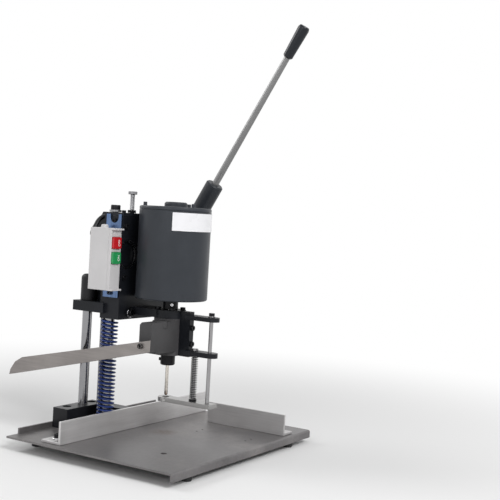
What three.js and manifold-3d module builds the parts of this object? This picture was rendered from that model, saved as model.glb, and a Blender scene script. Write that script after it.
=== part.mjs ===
// Paper drill for hang tags: a sheet table with two stop fences, two columns with a blue return spring,
// a cast head that carries motor, spindle, stack presser, chip tray and switch, and a lever whose gear
// quadrant climbs a rack bar behind the spring.
// Millimetres, +Z up, +Y away from the operator. The sizes are written from the point where the drill axis
// meets the table top, and the finished machine is then stood on its feet over the origin.
import * as THREE from 'three';
import { mergeVertices } from 'three/addons/utils/BufferGeometryUtils.js';
import Module from 'manifold-3d';

const wasm = await Module();
wasm.setup();

// Clearances shared by the whole machine
const gap = 0.3;            // between pieces that seat on each other, per side in a bore
const overrun = 4;          // how far a cutter runs past the face that it opens
const thin = 8;             // sides of a screw's shank
const coarse = 12;          // sides of a small round
const fine = 18;            // sides of a larger round
const smooth = 36;          // sides of the motor

// Travel
const headStroke = 49;      // how far the lever drives the head down

// Columns and their block
const column = { radius: 8, x: -49, rearX: -48, frontY: 86, rearY: 136, frontTop: 357.3, rearTop: 200 };
const block = {
  left: -103, right: -7, front: 120, back: 150.6, height: 33, legLeft: -32, legFront: 66, floor: 5,
  screwX: [-82, -21], screwY: 140, counterbore: 9, pocketSpare: 1,
};
const collar = { radius: 17, height: 8 };
const topWasher = { radius: 10, height: 3.4 };

// Table: one steel sheet with its front edge bent down and its back edge bent up, just behind the block
const table = {
  left: -201, width: 400, depth: 320, sheet: 3, bend: 3.5, frontLip: 12.8, behindBlock: 3.4,
  backLip: 9, backLipInset: 24,
};
const tableRight = table.left + table.width;
const tableBack = block.back + table.behindBlock;
const tableFront = tableBack - table.depth;
const chipHole = { x: -115, insetFront: 79, radius: 5 };
const stopHoles = { radius: 2, insetsRight: [152.5, 136], rearY: -33.5, insetFront: 36 };
const foot = { radius: 9.5, bottom: -22, taper: 1.5, insetX: 54, insetY: 13 };

// Socket head cap screws, one row of sizes for each thread
const m4 = { shank: 2, head: 3.5, headHeight: 4, socket: 1.8, socketDepth: 2 };
const m5 = { shank: 2.5, head: 4.3, headHeight: 4, socket: 2.3, socketDepth: 2.5 };
const m6 = { shank: 3, head: 5, headHeight: 6, socket: 2.8, socketDepth: 3 };
const m8 = { shank: 4, head: 6.5, headHeight: 6, socket: 3.6, socketDepth: 4 };
const m10 = { shank: 4.6, head: 8, headHeight: 8, socket: 4.4, socketDepth: 5 };

// Stop fences, bent from aluminium angle
const backFence = {
  face: 52.6, insetLeft: 11, height: 36.2, wall: 4, footDepth: 38.1, notchLeft: -71, notchRight: 5,
  notchLand: 7, boltFromLeft: 18, boltFromRight: 39, boltBehind: 22.4, slotLength: 14,
};
const backFenceLeft = table.left + backFence.insetLeft;
const backBoltY = backFence.face + backFence.boltBehind;
const backBoltX = [backFenceLeft + backFence.boltFromLeft, tableRight - backFence.boltFromRight];
const sideFence = {
  fromRight: 78.5, insetFront: 8.2, beforeBackFence: 56.3, height: 35.5, wall: 4, footDepth: 29.5,
  boltBeside: 17.5, boltInset: 28,
};
const sideFenceFace = tableRight - sideFence.fromRight;
const sideFenceFront = tableFront + sideFence.insetFront;
const sideFenceBack = backFence.face - sideFence.beforeBackFence;
const sideBoltX = sideFenceFace + sideFence.boltBeside;
const sideBoltY = [sideFenceFront + sideFence.boltInset, sideFenceBack - sideFence.boltInset];
const fenceWasher = { radius: 8, height: 1.6 };

// Rack bar and gear quadrant, both module 2
const gear = {
  module: 2, pitchRadius: 40, axisY: 78, axisZ: 288, left: -23, right: -11, hubRadius: 11.6, hubLeft: -25,
  hubRight: -7, barDepth: 12, barTop: 291.5, toothShare: 0.44, rootShare: 1.25, flankDegrees: 20, teeth: 10,
  teethAbove: 1, rackTeeth: 11, barSpare: 2,
};
const toothPitch = Math.PI * gear.module;
const pitchLineY = gear.axisY + gear.pitchRadius;

// Head casting
const head = {
  left: -61, right: 61, front: 59, step: 98, back: 138, bottom: 183, rearBottom: 200, top: 351,
  rearTop: 357, slopeStart: 124, slopeBottom: 335, rearLeft: -35,
  cavityLeft: -27, cavityRight: 49, cavityFront: 66, cavityBottom: 208, cavityTop: 344,
  cavityTopBack: 129, cavityRearTop: 334,
  windowX: -45, windowZ: 289, windowRadius: 24, windowDepth: 5,
};
const pinch = { x: -53, z: [252, 335] };
const slider = { left: -67, right: -29, front: 87, back: 152, bottom: 191.5, top: 208 };
const tongue = { halfWidth: 23, noseRadius: 26, bottom: 190, top: 203, bore: 13, screwOut: 14.5 };
const bush = { radius: 10 };
const bushCap = { radius: 12.6, top: 252, round: 7, roof: 2.5 };
const topPlate = { screwX: [-20, 46], screwY: 92, reach: 5 };
const rearCover = { thickness: 4, screwX: [-31, 55], screwZ: [217, 326], reach: 12 };
const depthStop = { x: -17, y: 77.6, radius: 4, headRadius: 7.5, headHeight: 5, rise: 36, sink: 49,
  nutRadius: 7.5, nutHeight: 4.7 };

// Lever with its shaft
const lever = {
  degreesUp: 58.67, shaftRadius: 8, shaftLeft: -36.5, shaftRight: 127, bossRadius: 18, bossRight: 82,
  bearingDepth: 10, bushRadius: 11, armCentre: 111, armThick: 30, hubRadius: 22, webWidth: 26, webThick: 18,
  socketStart: 92, socketEnd: 148.8, socketRadius: 15.5, socketChamfer: 2,
  rodStart: 116, rodBottomRadius: 6, rodTopRadius: 5, gripStart: 398, gripEnd: 456.5,
  gripBottomRadius: 8.5, gripTopRadius: 10, gripDepth: 44, gripRound: 2.5, setScrewInset: 14,
};

// Motor
const motor = {
  radius: 59, bottom: 220, top: 371, wall: 4, round: 2.5, coverHeight: 6,
  capRadius: 19, capHeight: 8, tieRadius: 50, tieDegrees: [130, 250, 10], nutRadius: 3.5, nutHeight: 6,
  stator: 32, statorBottom: 244, statorTop: 336, rotorEnd: 5, air: 1,
  shaftRadius: 5, shaftBottom: 211.5, hubRadius: 16, hubHeight: 10, mountZ: [240, 330], mountBite: 3,
};
const label = { thickness: 0.6, bottom: 333, height: 29, centreDegrees: 270, spanDegrees: 116 };

// Spindle, chuck and hollow bit
const housing = { radius: 26, bottom: 130, top: 189.7, middleRadius: 10, flat: -24 };
const bearing = { radius: 14, height: 8, inset: 2 };
const spindle = { radius: 6, bottom: 119.3, top: 209, boreRadius: 2.5 };
const coupling = { radius: 12.3, bottom: 204, top: 219, screwZ: 211.5, screwRadius: 2.5, screwOut: 1,
  screwDegrees: 225 };
const chuck = { radius: 12, bottom: 112, top: 129.2, chamfer: 1.5, screwDegrees: 122, screwRadius: 2.6,
  screwZ: 121, screwOut: 2.6, screwIn: 8 };
const bit = { radius: 2.8, bore: 1.9, tip: 62, top: 119, edge: 2.2 };

// Chip outlet and tray
const outlet = { left: -80, right: -12, front: -24.5, back: -1.2, bottom: 137.5, top: 187, chamfer: 4,
  endRight: -66.2, endBottom: 141, y: -7.5, z: 148.5, bore: 4.5, earX: -45, earY: -14.5, earRadius: 12.5,
  earBottom: 178, earTop: 188.5, barBack: -14.5, barBottom: 146, barTop: 158 };
const tray = {
  left: -97.5, right: -66.5, sheet: 1.5, topStart: -37, zBottomStart: 144.7, zTopStart: 163,
  tipY: 260, zTip: 72, cornerY: 232, zCorner: 104.5, tipRiseY: 258, zTipRise: 81, tipBendY: 248,
  zTipBend: 95, farStart: -0.8, floorStart: -13.5, screwY: -19, screwZ: 152.6, screwReach: 9,
};

// Stack presser
const presser = {
  halfWidth: 11, front: -94, bottom: 52.5, thickness: 7, ringRadius: 13, bore: 6, guideY: -82.4,
  guideRadius: 3.2, springY: -54, springRodRadius: 3, springRodTop: 145,
  headRadius: 5.2, seatRadius: 6.25, seatHeight: 3.2, nutRadius: 4.75, nutHeight: 5, washerRadius: 5.8,
  washerHeight: 1.5,
};
const arm = {
  halfWidth: 11, endY: -85, rootY: -38, webHalf: 5.5, webFront: -44.5, webBack: -24.3, webBottom: 130,
  webTop: 203, upperBottom: 191, upperTop: 198, lowerBottom: 133.3, lowerTop: 141, screwZ: [151, 177],
  screwReach: 28,
};

// Springs: curl counts are driving values
const returnSpring = { outer: 14.5, radial: 5.4, axial: 3.6, curls: 27 };
const presserSpring = { outer: 5.65, radial: 1.3, axial: 1.2, curls: 24 };
const curlSteps = 8;
const wireSides = 5;

// Switch on its zinc plated plate
const plate = { thickness: 2.4, front: 60.7, back: 91.5, bottom: 218.6, top: 354, slotWidth: 17,
  slotDepth: 14, slotY: 75, screwY: [76.6, 75], screwZ: [226, 343.5], reach: 7 };
const box = { width: 24.6, front: 58.4, back: 103, bottom: 231, top: 331.3, wall: 2.2, cover: 5.4, lip: 5.3,
  lipHeight: 3 };
const button = { inset: 2.3, height: 18.9, proud: 3.35, depth: 9, stopZ: 307.8, startZ: 283.6, corner: 2 };
const contacts = { width: 16, depth: 22, height: 78 };
const plug = { x: -76, y: 84, radius: 6, height: 5.5, round: 3 };
const lead = { radius: 4, sides: 10, steps: 28 };
const leadRoute = [[-76, 101.2, 316], [-76, 107, 317], [-75, 111, 320.5], [-71.5, 112, 326.5],
  [-66.6, 112, 333], [-60.7, 112, 341.1], [-53.2, 112, 346.6], [-45.5, 112, 349.6], [-36.4, 112, 350]];

// Finishes
const finish = (color, metalness, roughness) => (
  new THREE.MeshStandardMaterial({ color, metalness, roughness }));
const steelSheet = finish(0x8f8b86, 0.7, 0.45);
const aluminium = finish(0xb9b5b4, 0.7, 0.4);
const blackRubber = finish(0x1b1b1c, 0, 0.8);
const blackOxide = finish(0x1d1e20, 0.6, 0.45);
const castPaint = finish(0x3b3f45, 0.3, 0.5);
const blockPaint = finish(0x2b2e31, 0.3, 0.4);
const motorPaint = finish(0x44484e, 0.3, 0.45);
const chrome = finish(0xc9cad0, 1, 0.12);
const steel = finish(0x9b9ca0, 0.9, 0.3);
const bronze = finish(0x9a7442, 0.8, 0.4);
const springBlue = finish(0x23507c, 0.4, 0.4);
const zinc = finish(0x8ea6bd, 0.7, 0.35);
const paleShell = finish(0xd8d6d8, 0, 0.5);
const whiteLabel = finish(0xe6e6ea, 0, 0.5);
const stopRed = finish(0xc02836, 0, 0.4);
const startGreen = finish(0x259a66, 0, 0.4);
const gripBlack = finish(0x15171c, 0, 0.55);
const copper = finish(0x8c4f2b, 0.7, 0.5);

// Solids from three.js geometries, joined and cut where a piece needs it
function solid(geometry) {
  const bare = geometry.index ? geometry.toNonIndexed() : geometry.clone();
  bare.deleteAttribute('normal');
  bare.deleteAttribute('uv');
  const merged = mergeVertices(bare);
  const index = merged.index.array;
  const kept = [];
  for (let i = 0; i < index.length; i += 3) {
    const [a, b, c] = [index[i], index[i + 1], index[i + 2]];
    if (a !== b && b !== c && c !== a) kept.push(a, b, c);
  }
  const make = (tris) => new wasm.Manifold(new wasm.Mesh({
    numProp: 3,
    vertProperties: new Float32Array(merged.attributes.position.array),
    triVerts: new Uint32Array(tris),
  }));
  const body = make(kept);
  if (body.volume() > 0) return body;
  for (let i = 0; i < kept.length; i += 3) [kept[i], kept[i + 1]] = [kept[i + 1], kept[i]];
  return make(kept);
}

function join(...parts) {
  return parts.reduce((sum, part) => sum.add(part));
}

function cut(body, ...tools) {
  return tools.reduce((left, tool) => left.subtract(tool), body);
}

function geometryOf(body) {
  const mesh = body.getMesh();
  const geometry = new THREE.BufferGeometry();
  const corners = new Float32Array(mesh.vertProperties);
  geometry.setAttribute('position', new THREE.BufferAttribute(corners, mesh.numProp));
  geometry.setIndex(new THREE.BufferAttribute(new Uint32Array(mesh.triVerts), 1));
  geometry.computeVertexNormals();
  return geometry;
}

function cuboid(x0, x1, y0, y1, z0, z1) {
  const geometry = new THREE.BoxGeometry(x1 - x0, y1 - y0, z1 - z0);
  geometry.translate((x0 + x1) / 2, (y0 + y1) / 2, (z0 + z1) / 2);
  return solid(geometry);
}

function rodZ(x, y, radius, z0, z1, sides = fine, radiusTop = radius) {
  const geometry = new THREE.CylinderGeometry(radiusTop, radius, z1 - z0, sides);
  geometry.rotateX(Math.PI / 2);
  geometry.translate(x, y, (z0 + z1) / 2);
  return solid(geometry);
}

function rodX(y, z, radius, x0, x1, sides = fine) {
  const geometry = new THREE.CylinderGeometry(radius, radius, x1 - x0, sides);
  geometry.rotateZ(Math.PI / 2);
  geometry.translate((x0 + x1) / 2, y, z);
  return solid(geometry);
}

function rodY(x, z, radius, y0, y1, sides = fine) {
  const geometry = new THREE.CylinderGeometry(radius, radius, y1 - y0, sides);
  geometry.translate(x, (y0 + y1) / 2, z);
  return solid(geometry);
}

function outline(points) {
  return new THREE.Shape(points.map(([u, v]) => new THREE.Vector2(u, v)));
}

// Outline in (y, z), thickness along X
function slabX(points, x0, x1) {
  const geometry = new THREE.ExtrudeGeometry(outline(points), { depth: x1 - x0, bevelEnabled: false });
  geometry.applyMatrix4(new THREE.Matrix4().set(0, 0, 1, x0, 1, 0, 0, 0, 0, 1, 0, 0, 0, 0, 0, 1));
  return solid(geometry);
}

// Outline in (x, z), thickness along Y
function slabY(points, y0, y1) {
  const geometry = new THREE.ExtrudeGeometry(outline(points), { depth: y1 - y0, bevelEnabled: false });
  geometry.applyMatrix4(new THREE.Matrix4().set(1, 0, 0, 0, 0, 0, -1, y1, 0, 1, 0, 0, 0, 0, 0, 1));
  return solid(geometry);
}

// Outline in (x, y), thickness along Z
function slabZ(points, z0, z1) {
  const geometry = new THREE.ExtrudeGeometry(outline(points), { depth: z1 - z0, bevelEnabled: false });
  geometry.translate(0, 0, z0);
  return solid(geometry);
}

// Profile in (radius, z), turned about the drill axis
function turned(points, sides = smooth) {
  const profile = points.map(([r, z]) => new THREE.Vector2(r, z));
  const geometry = new THREE.LatheGeometry([...profile, profile[0]], sides);
  geometry.rotateX(Math.PI / 2);
  return solid(geometry);
}

function arcPoints(cu, cv, radius, fromDegrees, toDegrees, steps) {
  const points = [];
  for (let i = 0; i <= steps; i++) {
    const a = THREE.MathUtils.degToRad(fromDegrees + (toDegrees - fromDegrees) * i / steps);
    points.push([cu + radius * Math.cos(a), cv + radius * Math.sin(a)]);
  }
  return points;
}

// A cap screw standing on z = 0 with its shank down, and the hole that it needs
function capScrew(size, reach) {
  const top = rodZ(0, 0, size.head, 0, size.headHeight, coarse);
  const shank = rodZ(0, 0, size.shank, -reach, (size.headHeight - size.socketDepth) / 2, thin);
  const socket = rodZ(0, 0, size.socket, size.headHeight - size.socketDepth, size.headHeight + overrun, 6);
  return cut(join(top, shank), socket);
}

function screwHole(size, reach) {
  return rodZ(0, 0, size.shank + gap, -reach - gap, overrun, thin);
}

// Turns that point a screw standing up along another direction
const facing = {
  up: [0, 0, 0], down: [180, 0, 0], front: [90, 0, 0], back: [-90, 0, 0], left: [0, -90, 0],
  right: [0, 90, 0],
};

function placed(body, direction, x, y, z) {
  return body.rotate(facing[direction]).translate([x, y, z]);
}

// One unbroken coil with tapered steps: curls of equal pitch, its wire a flattened pentagon
function coil(spring, x, y, z0, z1) {
  const wireZ = spring.axial / 2;
  const wireR = spring.radial / 2;
  const mean = spring.outer - wireR;
  const pitch = (z1 - z0 - spring.axial) / spring.curls;
  const steps = spring.curls * curlSteps;
  const rings = [];
  for (let i = 0; i <= steps; i++) {
    const turn = 2 * Math.PI * i / curlSteps;
    const climb = z0 + wireZ + pitch * i / curlSteps;
    const ring = [];
    for (let k = 0; k < wireSides; k++) {
      const a = 2 * Math.PI * k / wireSides;
      const r = mean + wireR * Math.cos(a);
      ring.push([x + r * Math.cos(turn), y + r * Math.sin(turn), climb + wireZ * Math.sin(a)]);
    }
    rings.push(ring);
  }
  const positions = rings.flat(2);
  const index = [];
  for (let i = 0; i < steps; i++) {
    for (let k = 0; k < wireSides; k++) {
      const [a, b] = [i * wireSides + k, i * wireSides + (k + 1) % wireSides];
      const [c, d] = [a + wireSides, b + wireSides];
      index.push(a, c, b, b, c, d);
    }
  }
  for (let k = 1; k + 1 < wireSides; k++) {
    const last = steps * wireSides;
    index.push(0, k, k + 1);
    index.push(last, last + k + 1, last + k);
  }
  const geometry = new THREE.BufferGeometry();
  geometry.setAttribute('position', new THREE.Float32BufferAttribute(positions, 3));
  geometry.setIndex(index);
  const body = solid(geometry);
  console.log('coil of', spring.curls, 'curls, least gap to itself', leastCoilGap(rings).toFixed(2), 'mm');
  return body;
}

// Least distance between the wire's surface points one curl apart, measured on edges and their middles
function leastCoilGap(rings) {
  let least = Infinity;
  const dense = rings.map((ring) => ring.flatMap((p, k) => {
    const q = ring[(k + 1) % ring.length];
    return [p, p.map((v, i) => (v + q[i]) / 2)];
  }));
  for (let i = 0; i + curlSteps < rings.length; i++) {
    for (const p of dense[i]) {
      for (let j = i + curlSteps - 2; j <= Math.min(i + curlSteps + 2, rings.length - 1); j++) {
        for (const q of dense[j]) least = Math.min(least, Math.hypot(p[0] - q[0], p[1] - q[1], p[2] - q[2]));
      }
    }
  }
  return least;
}

const machine = new THREE.Group();
const stand = new THREE.Group();
const headGroup = new THREE.Group();
machine.add(stand, headGroup);

function piece(parent, name, body, material) {
  const mesh = new THREE.Mesh(geometryOf(body), material);
  mesh.name = name;
  parent.add(mesh);
  return mesh;
}

// Table with feet
const fenceBolts = [
  ['fence_bolt_left', backBoltX[0], backBoltY],
  ['fence_bolt_right', backBoltX[1], backBoltY],
  ['fence_bolt_front', sideBoltX, sideBoltY[0]],
  ['fence_bolt_rear', sideBoltX, sideBoltY[1]],
];
const washerBottom = backFence.wall + 2 * gap;
const boltSeat = washerBottom + fenceWasher.height;

function makeTable() {
  const bendY = tableFront + table.bend;
  const profile = [
    [tableBack, 0], ...arcPoints(bendY, -table.bend, table.bend, 90, 180, 4),
    [tableFront, -table.frontLip], [tableFront + table.sheet, -table.frontLip],
    ...arcPoints(bendY, -table.bend, table.bend - table.sheet, 180, 90, 2), [tableBack, -table.sheet],
  ];
  const sheet = slabX(profile, table.left, tableRight);
  const lip = cuboid(table.left + table.backLipInset, tableRight - table.backLipInset,
    tableBack - table.sheet, tableBack, -table.sheet, table.backLip);
  const under = -table.sheet - overrun;
  const stopY = [stopHoles.rearY, tableFront + stopHoles.insetFront];
  const holes = stopHoles.insetsRight.flatMap((inset) => stopY.map((y) => (
    rodZ(tableRight - inset, y, stopHoles.radius, under, overrun, coarse))));
  const chipY = tableFront + chipHole.insetFront;
  holes.push(rodZ(chipHole.x, chipY, chipHole.radius, under, overrun, coarse));
  for (const [, x, y] of fenceBolts) holes.push(rodZ(x, y, m6.shank + gap, under, overrun, thin));
  return cut(join(sheet, lip), ...holes);
}
piece(stand, 'base_table', makeTable(), steelSheet);

for (const [side, x] of [['left', table.left + foot.insetX], ['right', tableRight - foot.insetX]]) {
  for (const [end, y] of [['front', tableFront + foot.insetY], ['rear', tableBack - foot.insetY]]) {
    piece(stand, `foot_${end}_${side}`, rodZ(x, y, foot.radius - foot.taper, foot.bottom, -table.sheet - gap,
      coarse, foot.radius), blackRubber);
  }
}

// Fences
function angleProfile(fence, face) {
  const outer = face + fence.footDepth;
  const inner = face + fence.wall;
  return [
    [face, gap], [outer, gap], [outer, gap + fence.wall], [inner, gap + fence.wall],
    [inner, fence.height], [face, fence.height],
  ];
}

function makeBackFence() {
  const angle = slabX(angleProfile(backFence, backFence.face), backFenceLeft, tableRight);
  const notch = cuboid(backFence.notchLeft, backFence.notchRight, backFence.face + backFence.notchLand,
    backFence.face + backFence.footDepth + overrun, -overrun, backFence.wall + overrun);
  const r = m6.shank + gap;
  const half = backFence.slotLength / 2 - r;
  const slots = backBoltX.map((x) => join(
    ...[-half, half].map((d) => rodZ(x, backBoltY + d, r, -overrun, backFence.wall + overrun, coarse)),
    cuboid(x - r, x + r, backBoltY - half, backBoltY + half, -overrun, backFence.wall + overrun)));
  return cut(angle, notch, ...slots);
}
piece(stand, 'back_fence', makeBackFence(), aluminium);

function makeSideFence() {
  const holes = sideBoltY.map((y) => (
    rodZ(sideBoltX, y, m6.shank + gap, -overrun, sideFence.wall + overrun, coarse)));
  const angle = slabY(angleProfile(sideFence, sideFenceFace), sideFenceFront, sideFenceBack);
  return cut(angle, ...holes);
}
piece(stand, 'side_fence', makeSideFence(), aluminium);

// A fence bolt comes with its captive washer
for (const [name, x, y] of fenceBolts) {
  const bolt = join(capScrew(m6, boltSeat + table.sheet),
    rodZ(0, 0, fenceWasher.radius, -fenceWasher.height, 0, coarse));
  piece(stand, name, placed(bolt, 'up', x, y, boltSeat), blackOxide);
}

// Column block, columns and rack bar
const columnBore = column.radius + gap;
const rackFront = pitchLineY - gear.module;
const rackBack = rackFront + gear.barDepth;

function makeBlock() {
  const seat = block.height - block.counterbore;
  const body = join(
    cuboid(block.left, block.right, block.front, block.back, gap, block.height),
    cuboid(block.legLeft, block.right, block.legFront, block.front + overrun, gap, block.height));
  const pocketRadius = m8.head + block.pocketSpare;
  const pockets = block.screwX.map((x) => (
    rodZ(x, block.screwY, pocketRadius, seat, block.height + overrun)));
  const socket = cuboid(gear.left - gap, gear.right + gap, rackFront - gap, rackBack + gap,
    block.floor - gap, block.height + overrun);
  const bore = rodZ(column.rearX, column.rearY, columnBore, block.floor - gap, block.height + overrun);
  const screws = block.screwX.map((x) => placed(capScrew(m8, m8.shank), 'up', x, block.screwY, seat));
  return join(cut(body, socket, bore, ...pockets), ...screws);
}
piece(stand, 'column_block', makeBlock(), blockPaint);

piece(stand, 'rear_column',
  rodZ(column.rearX, column.rearY, column.radius, block.floor, column.rearTop), chrome);
const topScrewReach = 3 * m10.headHeight;
piece(stand, 'front_column', cut(
  rodZ(column.x, column.frontY, column.radius, gap, column.frontTop),
  rodZ(column.x, column.frontY, m10.shank + gap, column.frontTop - topScrewReach - gap,
    column.frontTop + overrun, coarse)), chrome);
piece(stand, 'column_collar', cut(
  rodZ(column.x, column.frontY, collar.radius, gap, collar.height),
  rodZ(column.x, column.frontY, columnBore, -overrun, collar.height + overrun)), blockPaint);
const topWasherBottom = column.frontTop + gap;
piece(stand, 'column_top_screw', join(
  rodZ(column.x, column.frontY, topWasher.radius, topWasherBottom, topWasherBottom + topWasher.height),
  placed(capScrew(m10, topScrewReach), 'up', column.x, column.frontY, topWasherBottom + topWasher.height)),
blackOxide);

// Half the thickness of a tooth at a height above the pitch line
function toothHalf(height) {
  return toothPitch * gear.toothShare / 2 - height * Math.tan(THREE.MathUtils.degToRad(gear.flankDegrees));
}
const dedendum = gear.module * gear.rootShare;

// Rack teeth face -Y, one of them centred at the height of the quadrant's axis at rest
function makeRack() {
  const root = pitchLineY + dedendum;
  const points = [[rackBack, block.floor], [rackBack, gear.barTop], [root, gear.barTop]];
  for (let k = 0; k < gear.rackTeeth; k++) {
    const z = gear.axisZ - k * toothPitch;
    points.push([root, z + toothHalf(-dedendum)], [rackFront, z + toothHalf(gear.module)],
      [rackFront, z - toothHalf(gear.module)], [root, z - toothHalf(-dedendum)]);
  }
  const plainTop = gear.axisZ - gear.rackTeeth * toothPitch + toothHalf(0);
  points.push([root, plainTop], [rackFront, plainTop], [rackFront, block.floor]);
  return slabX(points, gear.left, gear.right);
}
piece(stand, 'rack_bar', makeRack(), steel);

piece(stand, 'return_spring', coil(returnSpring, column.x, column.frontY, collar.height + gap,
  head.bottom - gap), springBlue);

// Head casting: a box for the gear, a bored slider arm behind and a tongue in front
const coverFront = head.back - rearCover.thickness;
const coverScrews = rearCover.screwX.flatMap((x) => rearCover.screwZ.map((z) => [x, z]));
const plateBottom = head.top + gap;
const plateOuter = head.left - gap - plate.thickness;
const plateScrews = plate.screwY.map((y, i) => [y, plate.screwZ[i]]);
const stopThread = depthStop.radius + gap;
const tongueScrews = [-tongue.screwOut, tongue.screwOut].flatMap((x) => (
  [-tongue.screwOut, tongue.screwOut].map((y) => [x, y])));

function makeCasting() {
  const slope = (head.slopeBottom - head.rearTop) / (head.back - head.slopeStart);
  const faceY = coverFront - gap;
  const shell = slabX([
    [head.front, head.bottom], [head.step, head.bottom], [head.step, head.rearBottom],
    [head.back, head.rearBottom], [head.back, head.cavityBottom], [faceY, head.cavityBottom],
    [faceY, head.rearTop + slope * (faceY - head.slopeStart)], [head.slopeStart, head.rearTop],
    [head.step, head.rearTop], [head.step, head.top], [head.front, head.top],
  ], head.rearLeft, head.right);
  const tower = cuboid(head.left, head.rearLeft + overrun, head.front, head.step, head.bottom, head.top);
  const slide = cuboid(slider.left, slider.right, slider.front, slider.back, slider.bottom, slider.top);
  const reach = join(
    cuboid(-tongue.halfWidth, tongue.halfWidth, 0, head.front + overrun, tongue.bottom, tongue.top),
    rodZ(0, 0, tongue.noseRadius, tongue.bottom, tongue.top, smooth));
  const pinchScrews = pinch.z.map((z) => placed(capScrew(m5, m5.shank), 'front', pinch.x, head.front, z));
  const boss = rodX(gear.axisY, gear.axisZ, lever.bossRadius, head.right - overrun, lever.bossRight);
  const cavity = slabX([
    [head.cavityFront, head.cavityBottom], [head.back + overrun, head.cavityBottom],
    [head.back + overrun, head.cavityRearTop], [faceY, head.cavityRearTop],
    [head.cavityTopBack, head.cavityTop], [head.cavityFront, head.cavityTop],
  ], head.cavityLeft, head.cavityRight);
  const rackWay = cuboid(gear.left - gear.barSpare, gear.right + gear.barSpare, rackFront - gear.barSpare,
    rackBack + gear.barSpare, head.rearBottom - overrun, head.cavityBottom + overrun);
  const window = rodY(head.windowX, head.windowZ, head.windowRadius, head.front - overrun,
    head.front + head.windowDepth);
  const cradle = rodZ(0, 0, motor.radius + gap, motor.bottom - gap, head.top + overrun, smooth);
  const body = cut(join(shell, tower, slide, reach, boss), cavity, rackWay, window, cradle,
    rodZ(column.x, column.frontY, bush.radius + gap, head.bottom - overrun, head.top + overrun),
    rodZ(column.rearX, column.rearY, bush.radius + gap, slider.bottom - overrun, slider.top + overrun),
    rodX(gear.axisY, gear.axisZ, lever.shaftRadius + gap, head.cavityLeft - lever.bearingDepth,
      head.cavityLeft + overrun),
    rodX(gear.axisY, gear.axisZ, lever.bushRadius + gap, head.cavityRight - overrun,
      lever.bossRight + overrun),
    rodZ(0, 0, tongue.bore, tongue.bottom - overrun, tongue.top + overrun),
    rodZ(depthStop.x, depthStop.y, stopThread, head.cavityTop - overrun, head.top + overrun, coarse),
    ...motor.mountZ.map((z) => placed(screwHole(m6, head.cavityFront), 'back', 0, head.cavityFront, z)),
    ...coverScrews.map(([x, z]) => placed(screwHole(m4, rearCover.reach), 'back', x, head.back, z)),
    ...topPlate.screwX.map((x) => placed(screwHole(m4, topPlate.reach), 'up', x, topPlate.screwY, head.top)),
    ...plateScrews.map(([y, z]) => placed(screwHole(m4, plate.reach), 'left', plateOuter, y, z)));
  return join(body, ...pinchScrews,
    ...tongueScrews.map(([x, y]) => placed(capScrew(m5, m5.shank), 'up', x, y, tongue.top)));
}
piece(headGroup, 'head_casting', makeCasting(), castPaint);

function sleeve(x, y, z0, z1) {
  return cut(rodZ(x, y, bush.radius, z0, z1), rodZ(x, y, columnBore, z0 - overrun, z1 + overrun));
}
piece(headGroup, 'front_bush', sleeve(column.x, column.frontY, head.bottom + gap, head.top - gap), bronze);
piece(headGroup, 'rear_bush', sleeve(column.rearX, column.rearY, slider.bottom + gap, slider.top - gap),
  bronze);

function makeBushCap() {
  const bottom = slider.top + gap;
  const dome = turned([
    [0, bottom], [bushCap.radius, bottom],
    ...arcPoints(bushCap.radius - bushCap.round, bushCap.top - bushCap.round, bushCap.round, 0, 90, 5),
    [0, bushCap.top],
  ], fine).translate([column.rearX, column.rearY, 0]);
  return cut(dome, rodZ(column.rearX, column.rearY, columnBore, bottom - overrun,
    bushCap.top - bushCap.roof));
}
piece(headGroup, 'rear_column_cap', makeBushCap(), blackRubber);

function makeTopPlate() {
  const flat = cuboid(head.left, head.right, head.front, head.step - gap, plateBottom, head.rearTop);
  const above = head.rearTop + overrun;
  const bare = cut(flat,
    rodZ(0, 0, motor.radius + gap, plateBottom - overrun, above, smooth),
    rodZ(column.x, column.frontY, columnBore, plateBottom - overrun, above),
    rodZ(depthStop.x, depthStop.y, stopThread, plateBottom - overrun, above, coarse));
  return join(bare, ...topPlate.screwX.map((x) => (
    placed(capScrew(m4, topPlate.reach + head.rearTop - head.top), 'up', x, topPlate.screwY,
      head.rearTop))));
}
piece(headGroup, 'top_plate', makeTopPlate(), castPaint);

piece(headGroup, 'rear_cover', join(
  cuboid(head.rearLeft, head.right, coverFront, head.back, head.cavityBottom + gap, head.slopeBottom),
  ...coverScrews.map(([x, z]) => placed(capScrew(m4, rearCover.reach), 'back', x, head.back, z))), castPaint);

piece(headGroup, 'shaft_bush', cut(
  rodX(gear.axisY, gear.axisZ, lever.bushRadius, head.cavityRight, lever.bossRight),
  rodX(gear.axisY, gear.axisZ, lever.shaftRadius + gap, head.cavityRight - overrun,
    lever.bossRight + overrun)), bronze);

const stopTop = head.rearTop + depthStop.rise;
const stopBottom = head.rearTop - depthStop.sink;
piece(headGroup, 'depth_stop_bolt', join(
  rodZ(depthStop.x, depthStop.y, depthStop.radius, stopBottom, stopTop, coarse),
  rodZ(depthStop.x, depthStop.y, depthStop.headRadius, stopTop - depthStop.headHeight, stopTop)), chrome);
const nutBottom = head.rearTop + gap;
piece(headGroup, 'depth_stop_nut', cut(
  rodZ(depthStop.x, depthStop.y, depthStop.nutRadius, nutBottom, nutBottom + depthStop.nutHeight, 6),
  rodZ(depthStop.x, depthStop.y, stopThread, nutBottom - overrun, nutBottom + depthStop.nutHeight + overrun,
    coarse)), blackOxide);

// Motor, held by two screws that are reached from inside the head
const coverBottom = motor.top - motor.coverHeight;
const shaftBore = motor.shaftRadius + gap;

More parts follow.
